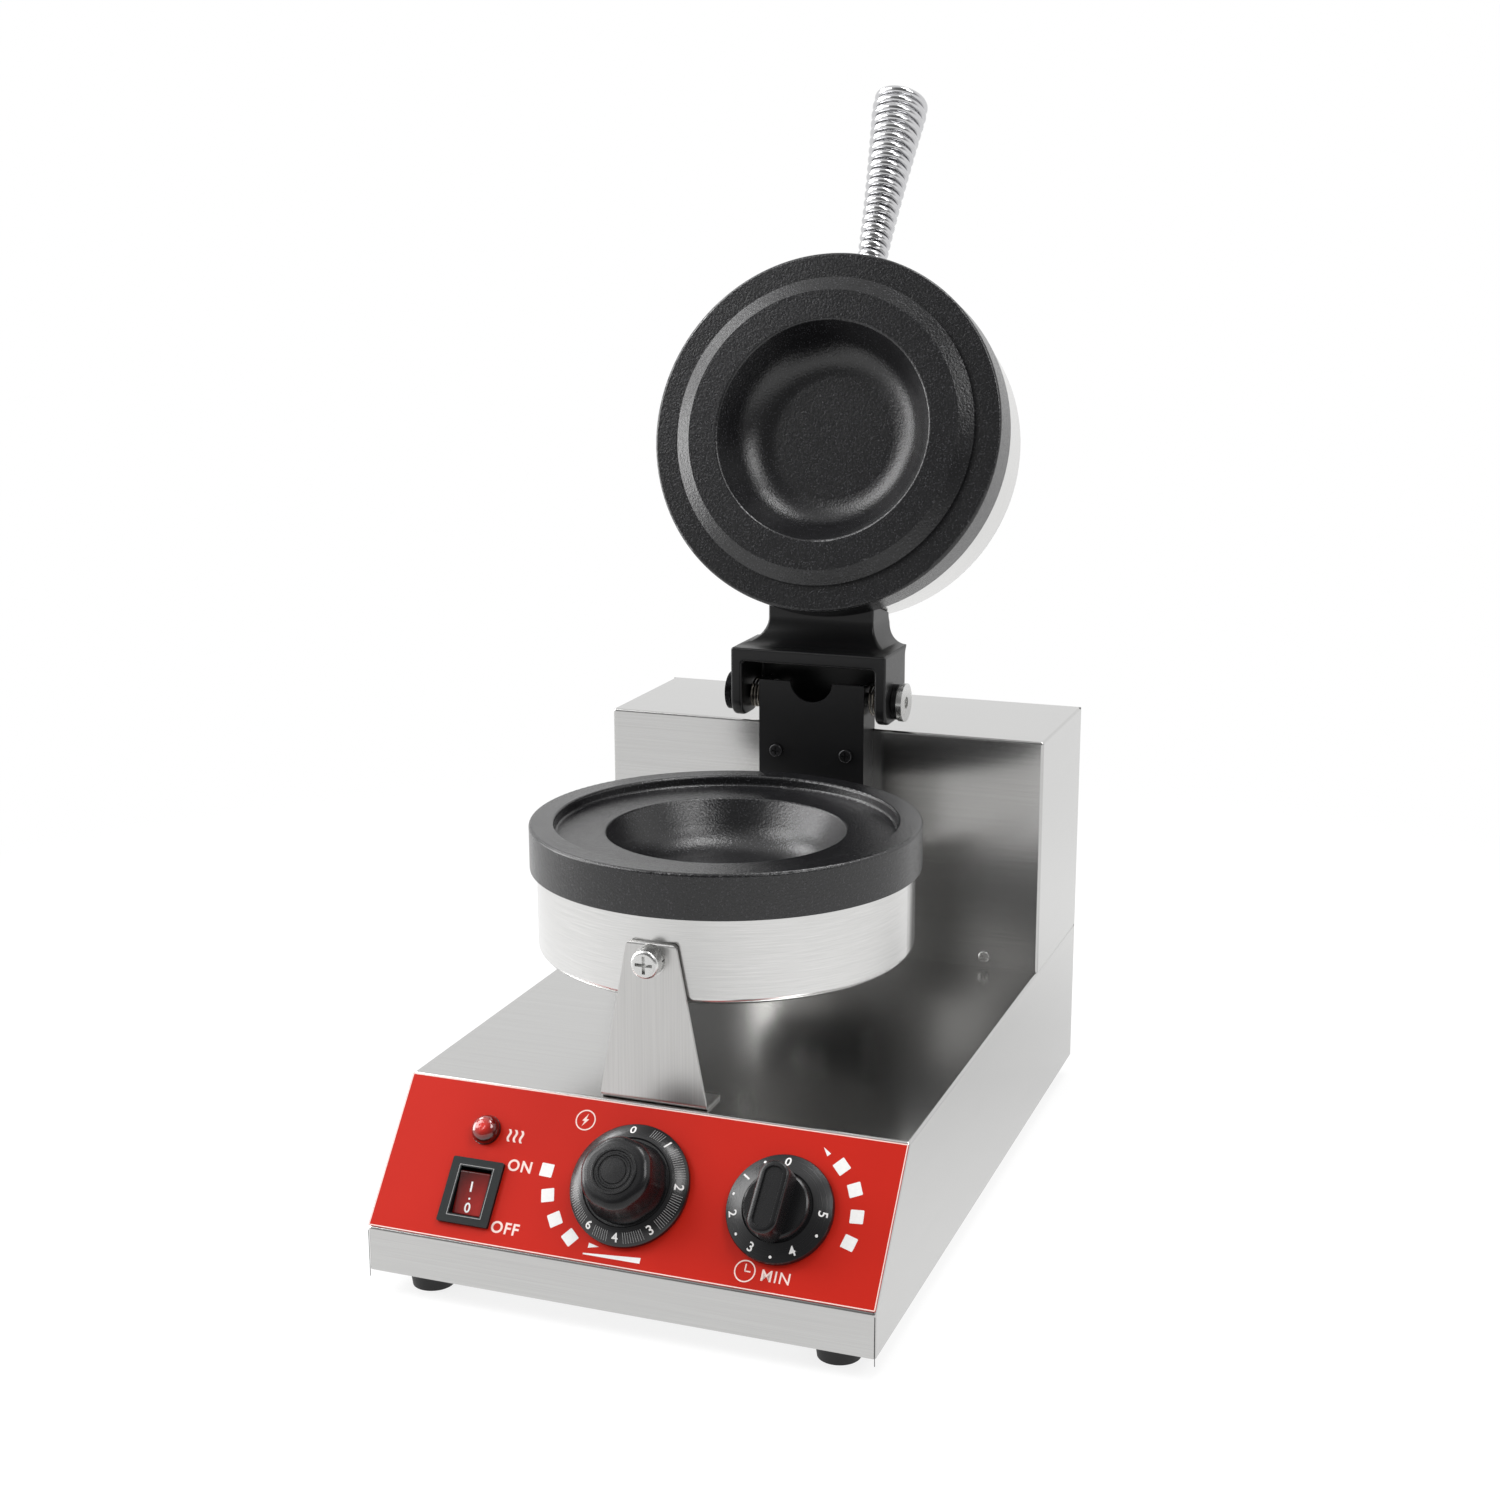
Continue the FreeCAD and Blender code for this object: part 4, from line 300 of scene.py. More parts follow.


# dark red window of the switch, with painted light that makes it brighter low on its right
rockerPaintedLight = {"corner": (-0.0692, -0.2105, 0.0440), "scale": 46,
              "tones": ((0.030, 0.002, 0.002), (0.42, 0.020, 0.015)), "grain": (500, 2), "grainGlow": 0.10,
              "rough": 0.14, "grainRough": 0.06, "coat": 0.5, "coatRough": 0.08}


def rockerRed(sheet):
    grain = sheet.noise(sheet.place(), *rockerPaintedLight["grain"])
    # painted light: the red brightens towards the lower right corner
    glow = paintedGlowFrom(sheet, rockerPaintedLight["corner"], rockerPaintedLight["scale"]) + grain * rockerPaintedLight["grainGlow"]
    return {"Base Color": sheet.blend(glow, *rockerPaintedLight["tones"]),
            "Roughness": grain * rockerPaintedLight["grainRough"] + rockerPaintedLight["rough"],
            "Coat Weight": rockerPaintedLight["coat"], "Coat Roughness": rockerPaintedLight["coatRough"]}


# red lens of the lamp, with painted light and shade: brightest in its middle and darker towards its rim,
# with fine cuts
lensPaintedLight = {"middle": (-0.0784, -0.1904, 0.0795), "scale": 150,
            "tones": ((0.05, 0.003, 0.002), (0.75, 0.025, 0.015)), "cutScale": 520, "rough": 0.05,
            "cutRough": 0.05, "coat": 1.0, "coatRough": 0.03, "relief": (0.0003, 0.35)}


def lensRed(sheet):
    cuts = sheet.add("ShaderNodeTexVoronoi", {"feature": "F1"},
                     {"Vector": sheet.place(), "Scale": lensPaintedLight["cutScale"]})
    # painted light and shade: bright red in the middle, dark towards the rim
    glow = paintedGlowFrom(sheet, lensPaintedLight["middle"], lensPaintedLight["scale"])
    return {"Base Color": sheet.blend(glow, *lensPaintedLight["tones"]),
            "Roughness": cuts * lensPaintedLight["cutRough"] + lensPaintedLight["rough"],
            "Coat Weight": lensPaintedLight["coat"], "Coat Roughness": lensPaintedLight["coatRough"],
            "Normal": sheet.bump(cuts, *lensPaintedLight["relief"])}


for name, skin in plainSkins.items():
    finish(name, plainSkin(skin))
for name, coat in platings.items():
    finish(name, plating(*coat))
finish("brushedCase", brushedCase)
finish("brushedPan", brushedRing(0.0))
finish("brushedLid", brushedRing(math.radians(lid["open"])))
finish("satinBracket", satinBracket)
finish("coatedPlate", coatedPlate)
finish("pivotPlate", pivotPlating)
finish("rockerRed", rockerRed)
finish("lensRed", lensRed)
print("finishes:", len(finishes))

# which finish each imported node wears
wears = {
    "brushedCase": ["base_shell", "rear_box", "rear_cover", "bottom_plate", "rear_box_cleat"],
    "satinBracket": ["front_bracket"],
    "brushedPan": ["lower_shell"],
    "brushedLid": ["upper_shell"],
    "coatedPlate": ["lower_plate", "upper_plate"],
    "powderCoat": ["hinge_arm", "hinge_bracket"],
    "panelPaint": ["control_panel"],
    "mouldedBlack": ["thermostat_knob", "timer_knob", "cable_gland", "gland_locknut"],
    "bezelBlack": ["switch_body"],
    "rockerRed": ["rocker_button"],
    "lensRed": ["lamp_lens", "lamp_body"],
    "zinc": ["foot_screws", "rear_box_rivets", "rear_cover_screws", "control_screws", "bracket_screws",
             "pan_bolt", "pan_bolt_washers", "pan_bolt_nut", "support_tube", "support_tube_nuts",
             "lower_shell_screws", "upper_shell_screws", "lower_clamp_screws", "upper_clamp_screws",
             "arm_screws", "hinge_nuts", "thermostat_shaft", "timer_shaft", "hinge_bracket_nuts"],
    "springWire": ["hinge_springs"],
    "pivotPlate": ["hinge_bolts"],
    "blackPlate": ["hinge_washers", "hinge_bracket_screws"],
    "chrome": ["handle_coil", "handle_rod", "handle_boss"],
    "footRubber": ["foot_front_left", "foot_front_right", "foot_rear_left", "foot_rear_right"],
    "dullCasting": ["lower_heater", "upper_heater", "lower_heater_clamp", "upper_heater_clamp"],
    "woolBoard": ["lower_insulation", "upper_insulation"],
    "creamPlastic": ["terminal_block", "thermostat_body", "timer_body"],
}


def wear(piece, name):
    piece.data.materials.clear()
    piece.data.materials.append(finishes[name])


for name, members in wears.items():
    for member in members:
        wear(nodes[member], name)
unpainted = set(nodes) - {member for members in wears.values() for member in members}
print("nodes dressed, left bare:", sorted(unpainted))


# modelling, as by hand
def clearPick():
    bpy.ops.object.select_all(action="DESELECT")


def pick(piece):
    clearPick()
    piece.select_set(True)
    bpy.context.view_layer.objects.active = piece


def pickFaces():
    bpy.ops.mesh.select_all(action="SELECT")


def edit():
    bpy.ops.object.mode_set(mode="EDIT")
    pickFaces()


def done():
    bpy.ops.object.mode_set(mode="OBJECT")


def turnBy(axis, degrees):
    return Matrix.Rotation(math.radians(degrees), 4, axis)


def disc(radius, sides, height):
    clearPick()
    bpy.ops.mesh.primitive_circle_add(vertices=sides, radius=radius, fill_type="NGON",
                                      location=(0, 0, height))
    bpy.ops.object.transform_apply()
    edit()
    return bpy.context.object


def tile(width, tall, height):
    clearPick()
    bpy.ops.mesh.primitive_plane_add(size=1, location=(0, 0, height))
    bpy.context.object.scale = (width, tall, 1)
    bpy.ops.object.transform_apply()
    edit()
    return bpy.context.object


def roundCorners(radius, segments):
    bpy.ops.mesh.bevel(offset=radius, segments=segments, affect="VERTICES")
    pickFaces()


def pull(rise, grow=1.0):
    bpy.ops.mesh.extrude_region_move(TRANSFORM_OT_translate={"value": (0, 0, rise)})
    if grow != 1.0:
        bpy.ops.transform.resize(value=(grow, grow, 1))


def climb(profile):
    for (radius, height), (nextRadius, nextHeight) in zip(profile, profile[1:]):
        pull(nextHeight - height, nextRadius / radius)


def roundOver(radius, steps):
    for step in range(steps):
        low = math.radians(90 * step / steps)
        high = math.radians(90 * (step + 1) / steps)
        bpy.ops.mesh.inset(thickness=radius * (math.cos(low) - math.cos(high)),
                           depth=radius * (math.sin(high) - math.sin(low)))


def cutMiddle():
    bpy.ops.mesh.delete(type="FACE")
    pickFaces()


def joinAll(pieces, name):
    clearPick()
    for piece in pieces:
        piece.select_set(True)
    bpy.context.view_layer.objects.active = pieces[0]
    bpy.ops.object.join()
    bpy.context.object.name = name
    bpy.context.object.data.name = name
    return bpy.context.object


def settle(piece, where):
    pick(piece)
    piece.matrix_world = where @ piece.matrix_world
    bpy.context.view_layer.update()
    bpy.ops.object.transform_apply()


def smooth(piece, angle):
    pick(piece)
    edit()
    bpy.ops.mesh.normals_make_consistent(inside=False)
    done()
    bpy.ops.object.shade_smooth_by_angle(angle=math.radians(angle))


# print on the dials and the rocker; numbers are turned upright where the cosine of their angle is lower
ink = {"thick": 0.00003, "lift": 0.00006, "curveSteps": 6, "dotEdge": 0.96, "uprightBelow": -0.1}


def letters(words, size, thick, bold, space=1.0):
    clearPick()
    bpy.ops.object.text_add()
    text = bpy.context.object
    text.data.body = words
    text.data.size = size
    text.data.align_x = "CENTER"
    text.data.align_y = "CENTER"
    text.data.extrude = thick
    text.data.offset = bold
    text.data.space_character = space
    text.data.resolution_u = ink["curveSteps"]
    bpy.ops.object.convert(target="MESH")
    piece = bpy.context.object
    middle = sum((Vector(corner) for corner in piece.bound_box), Vector()) / 8
    settle(piece, Matrix.Translation((-middle.x, -middle.y, 0)))
    return piece


# castings and folded sheet with their edges eased
easing = {"merge": 0.000002, "flatWithin": 0.5, "easeFrom": 35, "smoothWithin": 34, "flatWeight": 100}
eased = [{"node": "hinge_arm", "name": "hingeArm", "width": 0.0014, "segments": 3, "clamp": False,
          "wears": "powderCoat", "body": "lid", "slot": "black_hinge"},
         {"node": "hinge_bracket", "name": "hingeBracket", "width": 0.00035, "segments": 2, "clamp": True,
          "wears": "powderCoat", "body": "base", "slot": "black_hinge"},
         {"node": "front_bracket", "name": "frontBracket", "width": 0.0003, "segments": 2, "clamp": True,
          "wears": "satinBracket", "body": "base", "slot": "bracket_steel"},
         {"node": "rocker_button", "name": "rockerKey", "width": 0.0004, "segments": 2, "clamp": True,
          "wears": "rockerRed", "body": "rocker", "slot": "red_lens"}]


def softened(entry):
    pick(nodes[entry["node"]])
    bpy.ops.object.duplicate()
    piece = bpy.context.object
    bpy.ops.object.parent_clear(type="CLEAR_KEEP_TRANSFORM")
    for key in list(piece.keys()):
        del piece[key]
    bpy.ops.mesh.customdata_custom_splitnormals_clear()
    edit()
    bpy.ops.mesh.remove_doubles(threshold=easing["merge"])
    bpy.ops.mesh.dissolve_limited(angle_limit=math.radians(easing["flatWithin"]))
    done()
    bevel = piece.modifiers.new("eased", "BEVEL")
    bevel.width = entry["width"]
    bevel.segments = entry["segments"]
    bevel.limit_method = "ANGLE"
    bevel.angle_limit = math.radians(easing["easeFrom"])
    bevel.use_clamp_overlap = entry["clamp"]
    bevel.miter_outer = "MITER_ARC"
    bpy.ops.object.modifier_apply(modifier=bevel.name)
    bpy.ops.object.shade_smooth_by_angle(angle=math.radians(easing["smoothWithin"]))
    level = piece.modifiers.new("level", "WEIGHTED_NORMAL")
    level.keep_sharp = True
    level.weight = easing["flatWeight"]
    bpy.ops.object.modifier_apply(modifier=level.name)
    piece.name = entry["name"]
    wear(piece, entry["wears"])
    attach(piece, entry["body"])
    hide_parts(entry["node"])


for entry in eased:
    softened(entry)
print("eased pieces:", len(eased))

# the sloped front: across, up the slope and out of it
slope = {"front": -0.2199, "foot": 0.033, "lean": 50.194, "paint": 0.001}
slopePlace = Matrix.Translation((0, slope["front"], slope["foot"])) @ turnBy("X", slope["lean"])


def onSlope(across, up, out=0.0, turn=0.0):
    return slopePlace @ Matrix.Translation((across, up, out)) @ turnBy("Z", turn)


# thermostat dial: skirt with numbers and fine lines, tall six-sided cap with a ringed top
thermostat = {"at": (0.0, 0.0385), "sides": 120,
              "skirt": [(0.0287, 0.0018), (0.0287, 0.0041), (0.0282, 0.0048), (0.0222, 0.0082),
                        (0.0212, 0.0084), (0.0205, 0.0078), (0.0190, 0.0078)],
              "capSides": 6, "capRadius": 0.0226, "capCorner": 0.0085, "capCornerSteps": 8, "capTurn": 15,
              "cap": [(0.0212, 0.0070), (0.0205, 0.0092), (0.0198, 0.0104), (0.0192, 0.0130),
                      (0.0186, 0.0170), (0.0181, 0.0215)],
              "capEdge": 0.0042, "capEdgeSteps": 6, "crownSides": 72, "smooth": 28,
              "crown": [(0.0108, 0.0250), (0.0108, 0.0262), (0.0104, 0.0266), (0.0096, 0.0266),
                        (0.0092, 0.0260), (0.0084, 0.0260), (0.0080, 0.0265), (0.0074, 0.0265),
                        (0.0070, 0.0259), (0.0062, 0.0259), (0.0058, 0.0264), (0.0002, 0.0265)],
              "numbers": [("0", -8), ("1", 36), ("2", 86), ("3", 140), ("4", 179), ("6", 212)],
              "numberSize": 0.0062, "numberRadius": 0.0252, "numberBold": 0.00008, "numberClear": 7,
              "lines": (14, 262), "linePitch": 2.6, "lineWidth": 0.00022, "lineFrom": 0.0228,
              "lineTo": 0.0279}


# height and lean of the skirt's cone at a radius
def skirtPoint(profile, radius):
    (outRadius, outHeight), (inRadius, inHeight) = profile[2], profile[3]
    share = (outRadius - radius) / (outRadius - inRadius)
    lean = math.degrees(math.atan2(inHeight - outHeight, outRadius - inRadius))
    return outHeight + share * (inHeight - outHeight), lean


def onSkirt(dial, angle, radius, lift, upright=True):
    height, lean = skirtPoint(dial["skirt"], radius)
    flip = 180 if upright and math.cos(math.radians(angle)) < ink["uprightBelow"] else 0
    return (onSlope(*dial["at"], turn=-angle) @ Matrix.Translation((0, radius, height + lift))
            @ turnBy("X", -lean) @ turnBy("Z", flip))


def turned(profile, sides):
    piece = disc(profile[0][0], sides, profile[0][1])
    climb(profile)
    done()
    return piece


def dialMarks(dial, name, body):
    numbers = []
    for words, angle in dial["numbers"]:
        number = letters(words, dial["numberSize"], ink["thick"], dial["numberBold"])
        settle(number, onSkirt(dial, angle, dial["numberRadius"], ink["lift"]))
        numbers.append(number)
    piece = joinAll(numbers, name)
    wear(piece, "printWhite")
    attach(piece, body)


# skirts are moulded with fine rings about the shaft, which draw the light into a fan
skirtSkin = {"tones": ((0.006, 0.006, 0.0065), (0.011, 0.011, 0.012)), "clouds": (60, 2), "ringScale": 3600,
             "ringDetail": 2, "rough": 0.20, "ringRough": 0.10, "specular": 0.55, "relief": (0.00004, 0.6)}


def ringedSkirt(dial):
    seat = onSlope(*dial["at"]).inverted()

    def build(sheet):
        flat = sheet.place(turn=tuple(seat.to_euler()), shift=tuple(seat.translation), scale=(1, 1, 0))
        radius = sheet.add("ShaderNodeVectorMath", {"operation": "LENGTH"}, {0: flat}, out=1)
        rings = sheet.add("ShaderNodeTexNoise", {"noise_dimensions": "1D"},
                          {"W": radius, "Scale": skirtSkin["ringScale"], "Detail": skirtSkin["ringDetail"]})
        cloud = sheet.noise(sheet.place(), *skirtSkin["clouds"])
        return {"Base Color": sheet.blend(cloud, *skirtSkin["tones"]),
                "Roughness": rings * skirtSkin["ringRough"] + skirtSkin["rough"],
                "Specular IOR Level": skirtSkin["specular"],
                "Normal": sheet.bump(rings, *skirtSkin["relief"])}
    return build


def thermostatKnob():
    skirt = turned(thermostat["skirt"], thermostat["sides"])
    finish("thermostatSkirt", ringedSkirt(thermostat))
    wear(skirt, "thermostatSkirt")
    cap = disc(thermostat["capRadius"], thermostat["capSides"], thermostat["cap"][0][1])
    roundCorners(thermostat["capCorner"], thermostat["capCornerSteps"])
    climb(thermostat["cap"])
    roundOver(thermostat["capEdge"], thermostat["capEdgeSteps"])
    done()
    settle(cap, turnBy("Z", thermostat["capTurn"]))
    wear(cap, "mouldedBlack")
    crown = turned(thermostat["crown"], thermostat["crownSides"])
    wear(crown, "mouldedBlack")
    knob = joinAll([skirt, cap, crown], "thermostatKnob")
    smooth(knob, thermostat["smooth"])
    settle(knob, onSlope(*thermostat["at"]))
    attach(knob, "thermostat_dial")
    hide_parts("thermostat_knob")


def thermostatLines():
    lines = []
    first, last = thermostat["lines"]
    reach = thermostat["lineTo"] - thermostat["lineFrom"]
    middle = thermostat["lineFrom"] + reach / 2
    for step in range(int((last - first) / thermostat["linePitch"])):
        angle = first + step * thermostat["linePitch"]
        nearNumber = min(abs(angle - place) for words, place in thermostat["numbers"])
        if nearNumber > thermostat["numberClear"]:
            line = tile(thermostat["lineWidth"], reach, 0)
            pull(ink["thick"])
            done()
            settle(line, onSkirt(thermostat, angle, middle, ink["thick"], False))
            lines.append(line)
    piece = joinAll(lines, "thermostatLines")
    wear(piece, "printAndHighlightGrey")
    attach(piece, "thermostat_dial")


thermostatKnob()
thermostatLines()
dialMarks(thermostat, "thermostatNumbers", "thermostat_dial")
print("thermostat dial done")

# timer dial: skirt with numbers and dots, round hub and a bar to grip
timer = {"at": (0.073, 0.0385), "sides": 110,
         "skirt": [(0.0250, 0.0018), (0.0250, 0.0040), (0.0246, 0.0047), (0.0172, 0.0076), (0.0166, 0.0077),
                   (0.0160, 0.0072), (0.0140, 0.0072)],
         "hub": [(0.0155, 0.0065), (0.0155, 0.0100), (0.0151, 0.0108), (0.0143, 0.0113), (0.0060, 0.0113)],
         "hubSides": 80, "gripWidth": 0.0140, "gripLength": 0.0332, "gripFoot": 0.0078, "gripTop": 0.0226,
         "gripCorner": 0.00644, "gripCornerSteps": 10, "gripEdge": 0.0016, "gripEdgeSteps": 4,
         "gripTurn": -3, "rail": 0.0011, "railWall": 0.00044, "railDrop": 0.0010, "smooth": 30,
         "numbers": [("0", 0), ("1", -57), ("2", -106), ("3", -156), ("4", -210), ("5", -270)],
         "numberSize": 0.0062, "numberRadius": 0.0211, "numberBold": 0.00008,
         "dots": [-29, -82, -131, -183, -244], "dotSize": 0.0007, "dotSides": 12, "dotRadius": 0.0223}


def timerKnob():
    skirt = turned(timer["skirt"], timer["sides"])
    finish("timerSkirt", ringedSkirt(timer))
    wear(skirt, "timerSkirt")
    hub = turned(timer["hub"], timer["hubSides"])
    wear(hub, "mouldedBlack")
    grip = tile(timer["gripWidth"], timer["gripLength"], timer["gripFoot"])
    roundCorners(timer["gripCorner"], timer["gripCornerSteps"])
    pull(timer["gripTop"] - timer["gripFoot"])
    roundOver(timer["gripEdge"], timer["gripEdgeSteps"])
    bpy.ops.mesh.inset(thickness=timer["rail"], depth=0)
    bpy.ops.mesh.inset(thickness=timer["railWall"], depth=-timer["railDrop"])
    done()
    settle(grip, turnBy("Z", timer["gripTurn"]))
    wear(grip, "mouldedBlack")
    knob = joinAll([skirt, hub, grip], "timerKnob")
    smooth(knob, timer["smooth"])
    settle(knob, onSlope(*timer["at"]))
    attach(knob, "timer_dial")
    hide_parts("timer_knob")


def timerDots():
    dots = []
    for angle in timer["dots"]:
        dot = disc(timer["dotSize"], timer["dotSides"], 0)
        pull(ink["thick"], ink["dotEdge"])
        done()
        settle(dot, onSkirt(timer, angle, timer["dotRadius"], ink["thick"]))
        dots.append(dot)
    piece = joinAll(dots, "timerDots")
    wear(piece, "printWhite")
    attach(piece, "timer_dial")


timerKnob()
timerDots()
dialMarks(timer, "timerNumbers", "timer_dial")
print("timer dial done")

# print on the sloped front
marks = {"thick": 0.00006, "squareLeft": 0.0063, "squareRight": 0.0062, "corner": 0.0004, "cornerSteps": 2,
         "left": [(-0.0430, 0.0400), (-0.0393, 0.0285), (-0.0327, 0.0181), (-0.0232, 0.0111)],
         "right": [(0.0964, 0.0623), (0.1046, 0.0528), (0.1080, 0.0410), (0.1069, 0.0290)],
         "wedges": [((-0.0116, 0.0090), 0, 0.0068, 0.0027), ((0.0884, 0.0678), 135, 0.0060, 0.0024)],
         "words": [("ON", (-0.0569, 0.0398), 0.0076, 0.00015), ("OFF", (-0.0559, 0.0102), 0.0076, 0.00015),
                   ("MIN", (0.0772, 0.0088), 0.0074, 0.00003)], "wordSpace": 1.12,
         "wave": (-0.0664, 0.0535), "waves": 3, "wavePitch": 0.0032, "waveSize": 0.0105, "waveBold": 0.00015,
         "ramp": [(-0.0140, -0.0012), (0.0140, -0.0012), (0.0140, 0.0014), (-0.0140, -0.0006)],
         "rampAt": (-0.0010, 0.0058),
         "flash": [(0.0008, 0.0032), (-0.0016, -0.0004), (-0.0003, -0.0004), (-0.0013, -0.0032),
                   (0.0017, 0.0006), (0.0003, 0.0006)],
         "flashAt": (-0.0304, 0.0661), "clockAt": (0.0626, 0.0093), "hands": [(0, 0.0030), (0.0024, 0)],
         "handWidth": 0.0006, "handCorner": 0.00018, "ringRadius": 0.0050, "ringWidth": 0.0006,
         "ringSides": 48}


def squareMark(spot, size, centre):
    mark = tile(size, size, 0)
    roundCorners(marks["corner"], marks["cornerSteps"])
    pull(marks["thick"])
    done()
    turn = math.degrees(math.atan2(spot[1] - centre[1], spot[0] - centre[0]))
    settle(mark, onSlope(*spot, slope["paint"], turn))
    return mark


def wedgeMark(spot, turn, reach, wide):
    mark = disc(reach / 2, 3, 0)
    bpy.ops.transform.resize(value=(wide / reach, 1, 1))
    pull(marks["thick"])
    done()
    settle(mark, onSlope(*spot, slope["paint"], turn - 90))
    return mark


def ringMark(spot):
    mark = disc(marks["ringRadius"], marks["ringSides"], 0)
    bpy.ops.mesh.inset(thickness=marks["ringWidth"])
    cutMiddle()
    pull(marks["thick"])
    done()
    settle(mark, onSlope(*spot, slope["paint"]))
    return mark


def handMark(spot, hand):
    run = Vector(hand)
    mark = tile(run.length + marks["handWidth"], marks["handWidth"], 0)
    roundCorners(marks["handCorner"], marks["cornerSteps"])
    pull(marks["thick"])
    done()
    middle = Vector(spot) + run / 2
    settle(mark, onSlope(*middle, slope["paint"], math.degrees(math.atan2(run.y, run.x))))
    return mark


def outlineMark(points, spot):
    mark = disc(marks["ringRadius"], len(points), 0)
    done()
    for corner, (across, up) in zip(mark.data.vertices, points):
        corner.co = (across, up, 0)
    edit()
    bpy.ops.mesh.normals_make_consistent(inside=False)
    pull(marks["thick"])
    done()
    settle(mark, onSlope(*spot, slope["paint"]))
    return mark


def panelPrint():
    base = slope["paint"] + marks["thick"] / 2
    pieces = [squareMark(spot, marks["squareLeft"], thermostat["at"]) for spot in marks["left"]]
    pieces += [squareMark(spot, marks["squareRight"], timer["at"]) for spot in marks["right"]]
    pieces += [wedgeMark(*wedge) for wedge in marks["wedges"]]
    pieces.append(outlineMark(marks["ramp"], marks["rampAt"]))
    fine = [ringMark(marks["flashAt"]), ringMark(marks["clockAt"])]
    for words, spot, size, bold in marks["words"]:
        word = letters(words, size, marks["thick"] / 2, bold, marks["wordSpace"])
        settle(word, onSlope(*spot, base))
        fine.append(word)
    fine.append(outlineMark(marks["flash"], marks["flashAt"]))
    for step in range(marks["waves"]):
        wave = letters("~", marks["waveSize"], marks["thick"] / 2, marks["waveBold"])
        settle(wave, onSlope(marks["wave"][0] + step * marks["wavePitch"], marks["wave"][1], base, 90))
        fine.append(wave)
    fine += [handMark(marks["clockAt"], hand) for hand in marks["hands"]]
    for mark in pieces:
        wear(mark, "printWhite")
    for mark in fine:
        wear(mark, "printPink")
    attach(joinAll(pieces + fine, "panelPrint"), "base")


edgeLine = {"width": 0.2492, "tall": 0.0755, "middle": 0.03905, "corner": 0.0006, "cornerSteps": 6,
            "line": 0.0005, "thick": 0.00005}


def panelEdgeLine():
    piece = tile(edgeLine["width"], edgeLine["tall"], 0)
    roundCorners(edgeLine["corner"], edgeLine["cornerSteps"])
    bpy.ops.mesh.inset(thickness=edgeLine["line"])
    cutMiddle()
    pull(edgeLine["thick"])
    done()
    piece.name = "panelEdgeLine"
    settle(piece, onSlope(0, edgeLine["middle"], slope["paint"]))
    wear(piece, "printPink")
    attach(piece, "base")


# the rocker stands tilted on its pin, its upper end out
rocker = {"at": (-0.0772, 0.0240), "frameTop": 0.0030, "pin": -0.0030, "tilt": 8, "crest": 0.0042,
          "fall": 1.12, "marks": [("1", -0.0006, 0.0032, 0.0066), ("0", -0.0004, -0.0066, 0.0064)],
          "bold": 0.00010, "dot": (-0.0004, -0.0024), "dotSize": 0.0005, "dotSides": 14,
          # the window, and the painted highlight line round it with its gap and thickness
          "window": (0.0160, 0.0226), "line": 0.00030, "highlightGap": 0.0006, "highlightThick": 0.00004}


def onRocker(across, up):
    lean = math.copysign(rocker["fall"], up)
    height = rocker["crest"] + abs(up) * math.tan(math.radians(rocker["fall"])) + ink["lift"]
    return (onSlope(*rocker["at"], rocker["pin"]) @ turnBy("X", rocker["tilt"])
            @ Matrix.Translation((across, up, height)) @ turnBy("X", lean))


def rockerMarks():
    pieces = []
    for words, across, up, size in rocker["marks"]:
        mark = letters(words, size, ink["thick"], rocker["bold"])
        settle(mark, onRocker(across, up))
        pieces.append(mark)
    dot = disc(rocker["dotSize"], rocker["dotSides"], 0)
    pull(ink["thick"], ink["dotEdge"])
    done()
    settle(dot, onRocker(*rocker["dot"]))
    piece = joinAll(pieces + [dot], "rockerMarks")
    wear(piece, "printWhite")
    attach(piece, "rocker")


# a thin pale grey line round the switch window: a painted highlight on the edge of the gap
def paintedFrameHighlight():
    width, tall = (size + 2 * (rocker["line"] + rocker["highlightGap"]) for size in rocker["window"])
    piece = tile(width, tall, 0)
    bpy.ops.mesh.inset(thickness=rocker["line"])
    cutMiddle()
    pull(rocker["highlightThick"])
    done()
    piece.name = "switchFramePaintedHighlight"
    settle(piece, onSlope(*rocker["at"], rocker["frameTop"]))
    wear(piece, "printAndHighlightGrey")
    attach(piece, "base")


# the front sheet is folded in between the sides: a dark joint runs down each end of the strip
joint = {"width": 0.00032, "low": 0.0085, "high": 0.0320, "across": 0.1247, "thick": 0.00004}


def caseJoints():
    pieces = []
    for side in (-joint["across"], joint["across"]):
        line = tile(joint["width"], joint["high"] - joint["low"], 0)
        pull(joint["thick"])
        done()
        upright = Matrix.Translation((side, slope["front"], (joint["low"] + joint["high"]) / 2))
        settle(line, upright @ turnBy("X", 90))
        pieces.append(line)
    piece = joinAll(pieces, "caseJoints")
    wear(piece, "footRubber")
    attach(piece, "base")


panelPrint()
panelEdgeLine()
rockerMarks()
paintedFrameHighlight()
caseJoints()
print("panel print done")

# handle: one wire wound into a coil that widens and then tucks in at its free end
# the taper runs over all the turns, and the wire is drawn to a little short of the last
coil = {"start": (0, -0.1664, 0.2578), "rise": 15, "foot": 0.0089, "wire": 0.00476, "turns": 19.75,
        "drawn": 19.66, "firstPitch": 0.00535, "lastPitch": 0.0058, "firstRadius": 0.00595,
        "lastRadius": 0.0144, "flare": 1.4, "tuck": 0.0016, "tuckShare": 0.12, "steps": 42, "sides": 6,
        "smooth": 50}


def coilPoint(turn):
    share = turn / coil["turns"]
    radius = coil["firstRadius"] + (coil["lastRadius"] - coil["firstRadius"]) * share ** coil["flare"]
    radius -= coil["tuck"] * (max(share - 1 + coil["tuckShare"], 0) / coil["tuckShare"]) ** 2
    reach = turn * (coil["firstPitch"] + (coil["lastPitch"] - coil["firstPitch"]) * share / 2)
    angle = 2 * math.pi * turn
    return radius * math.cos(angle), -radius * math.sin(angle), coil["foot"] + reach


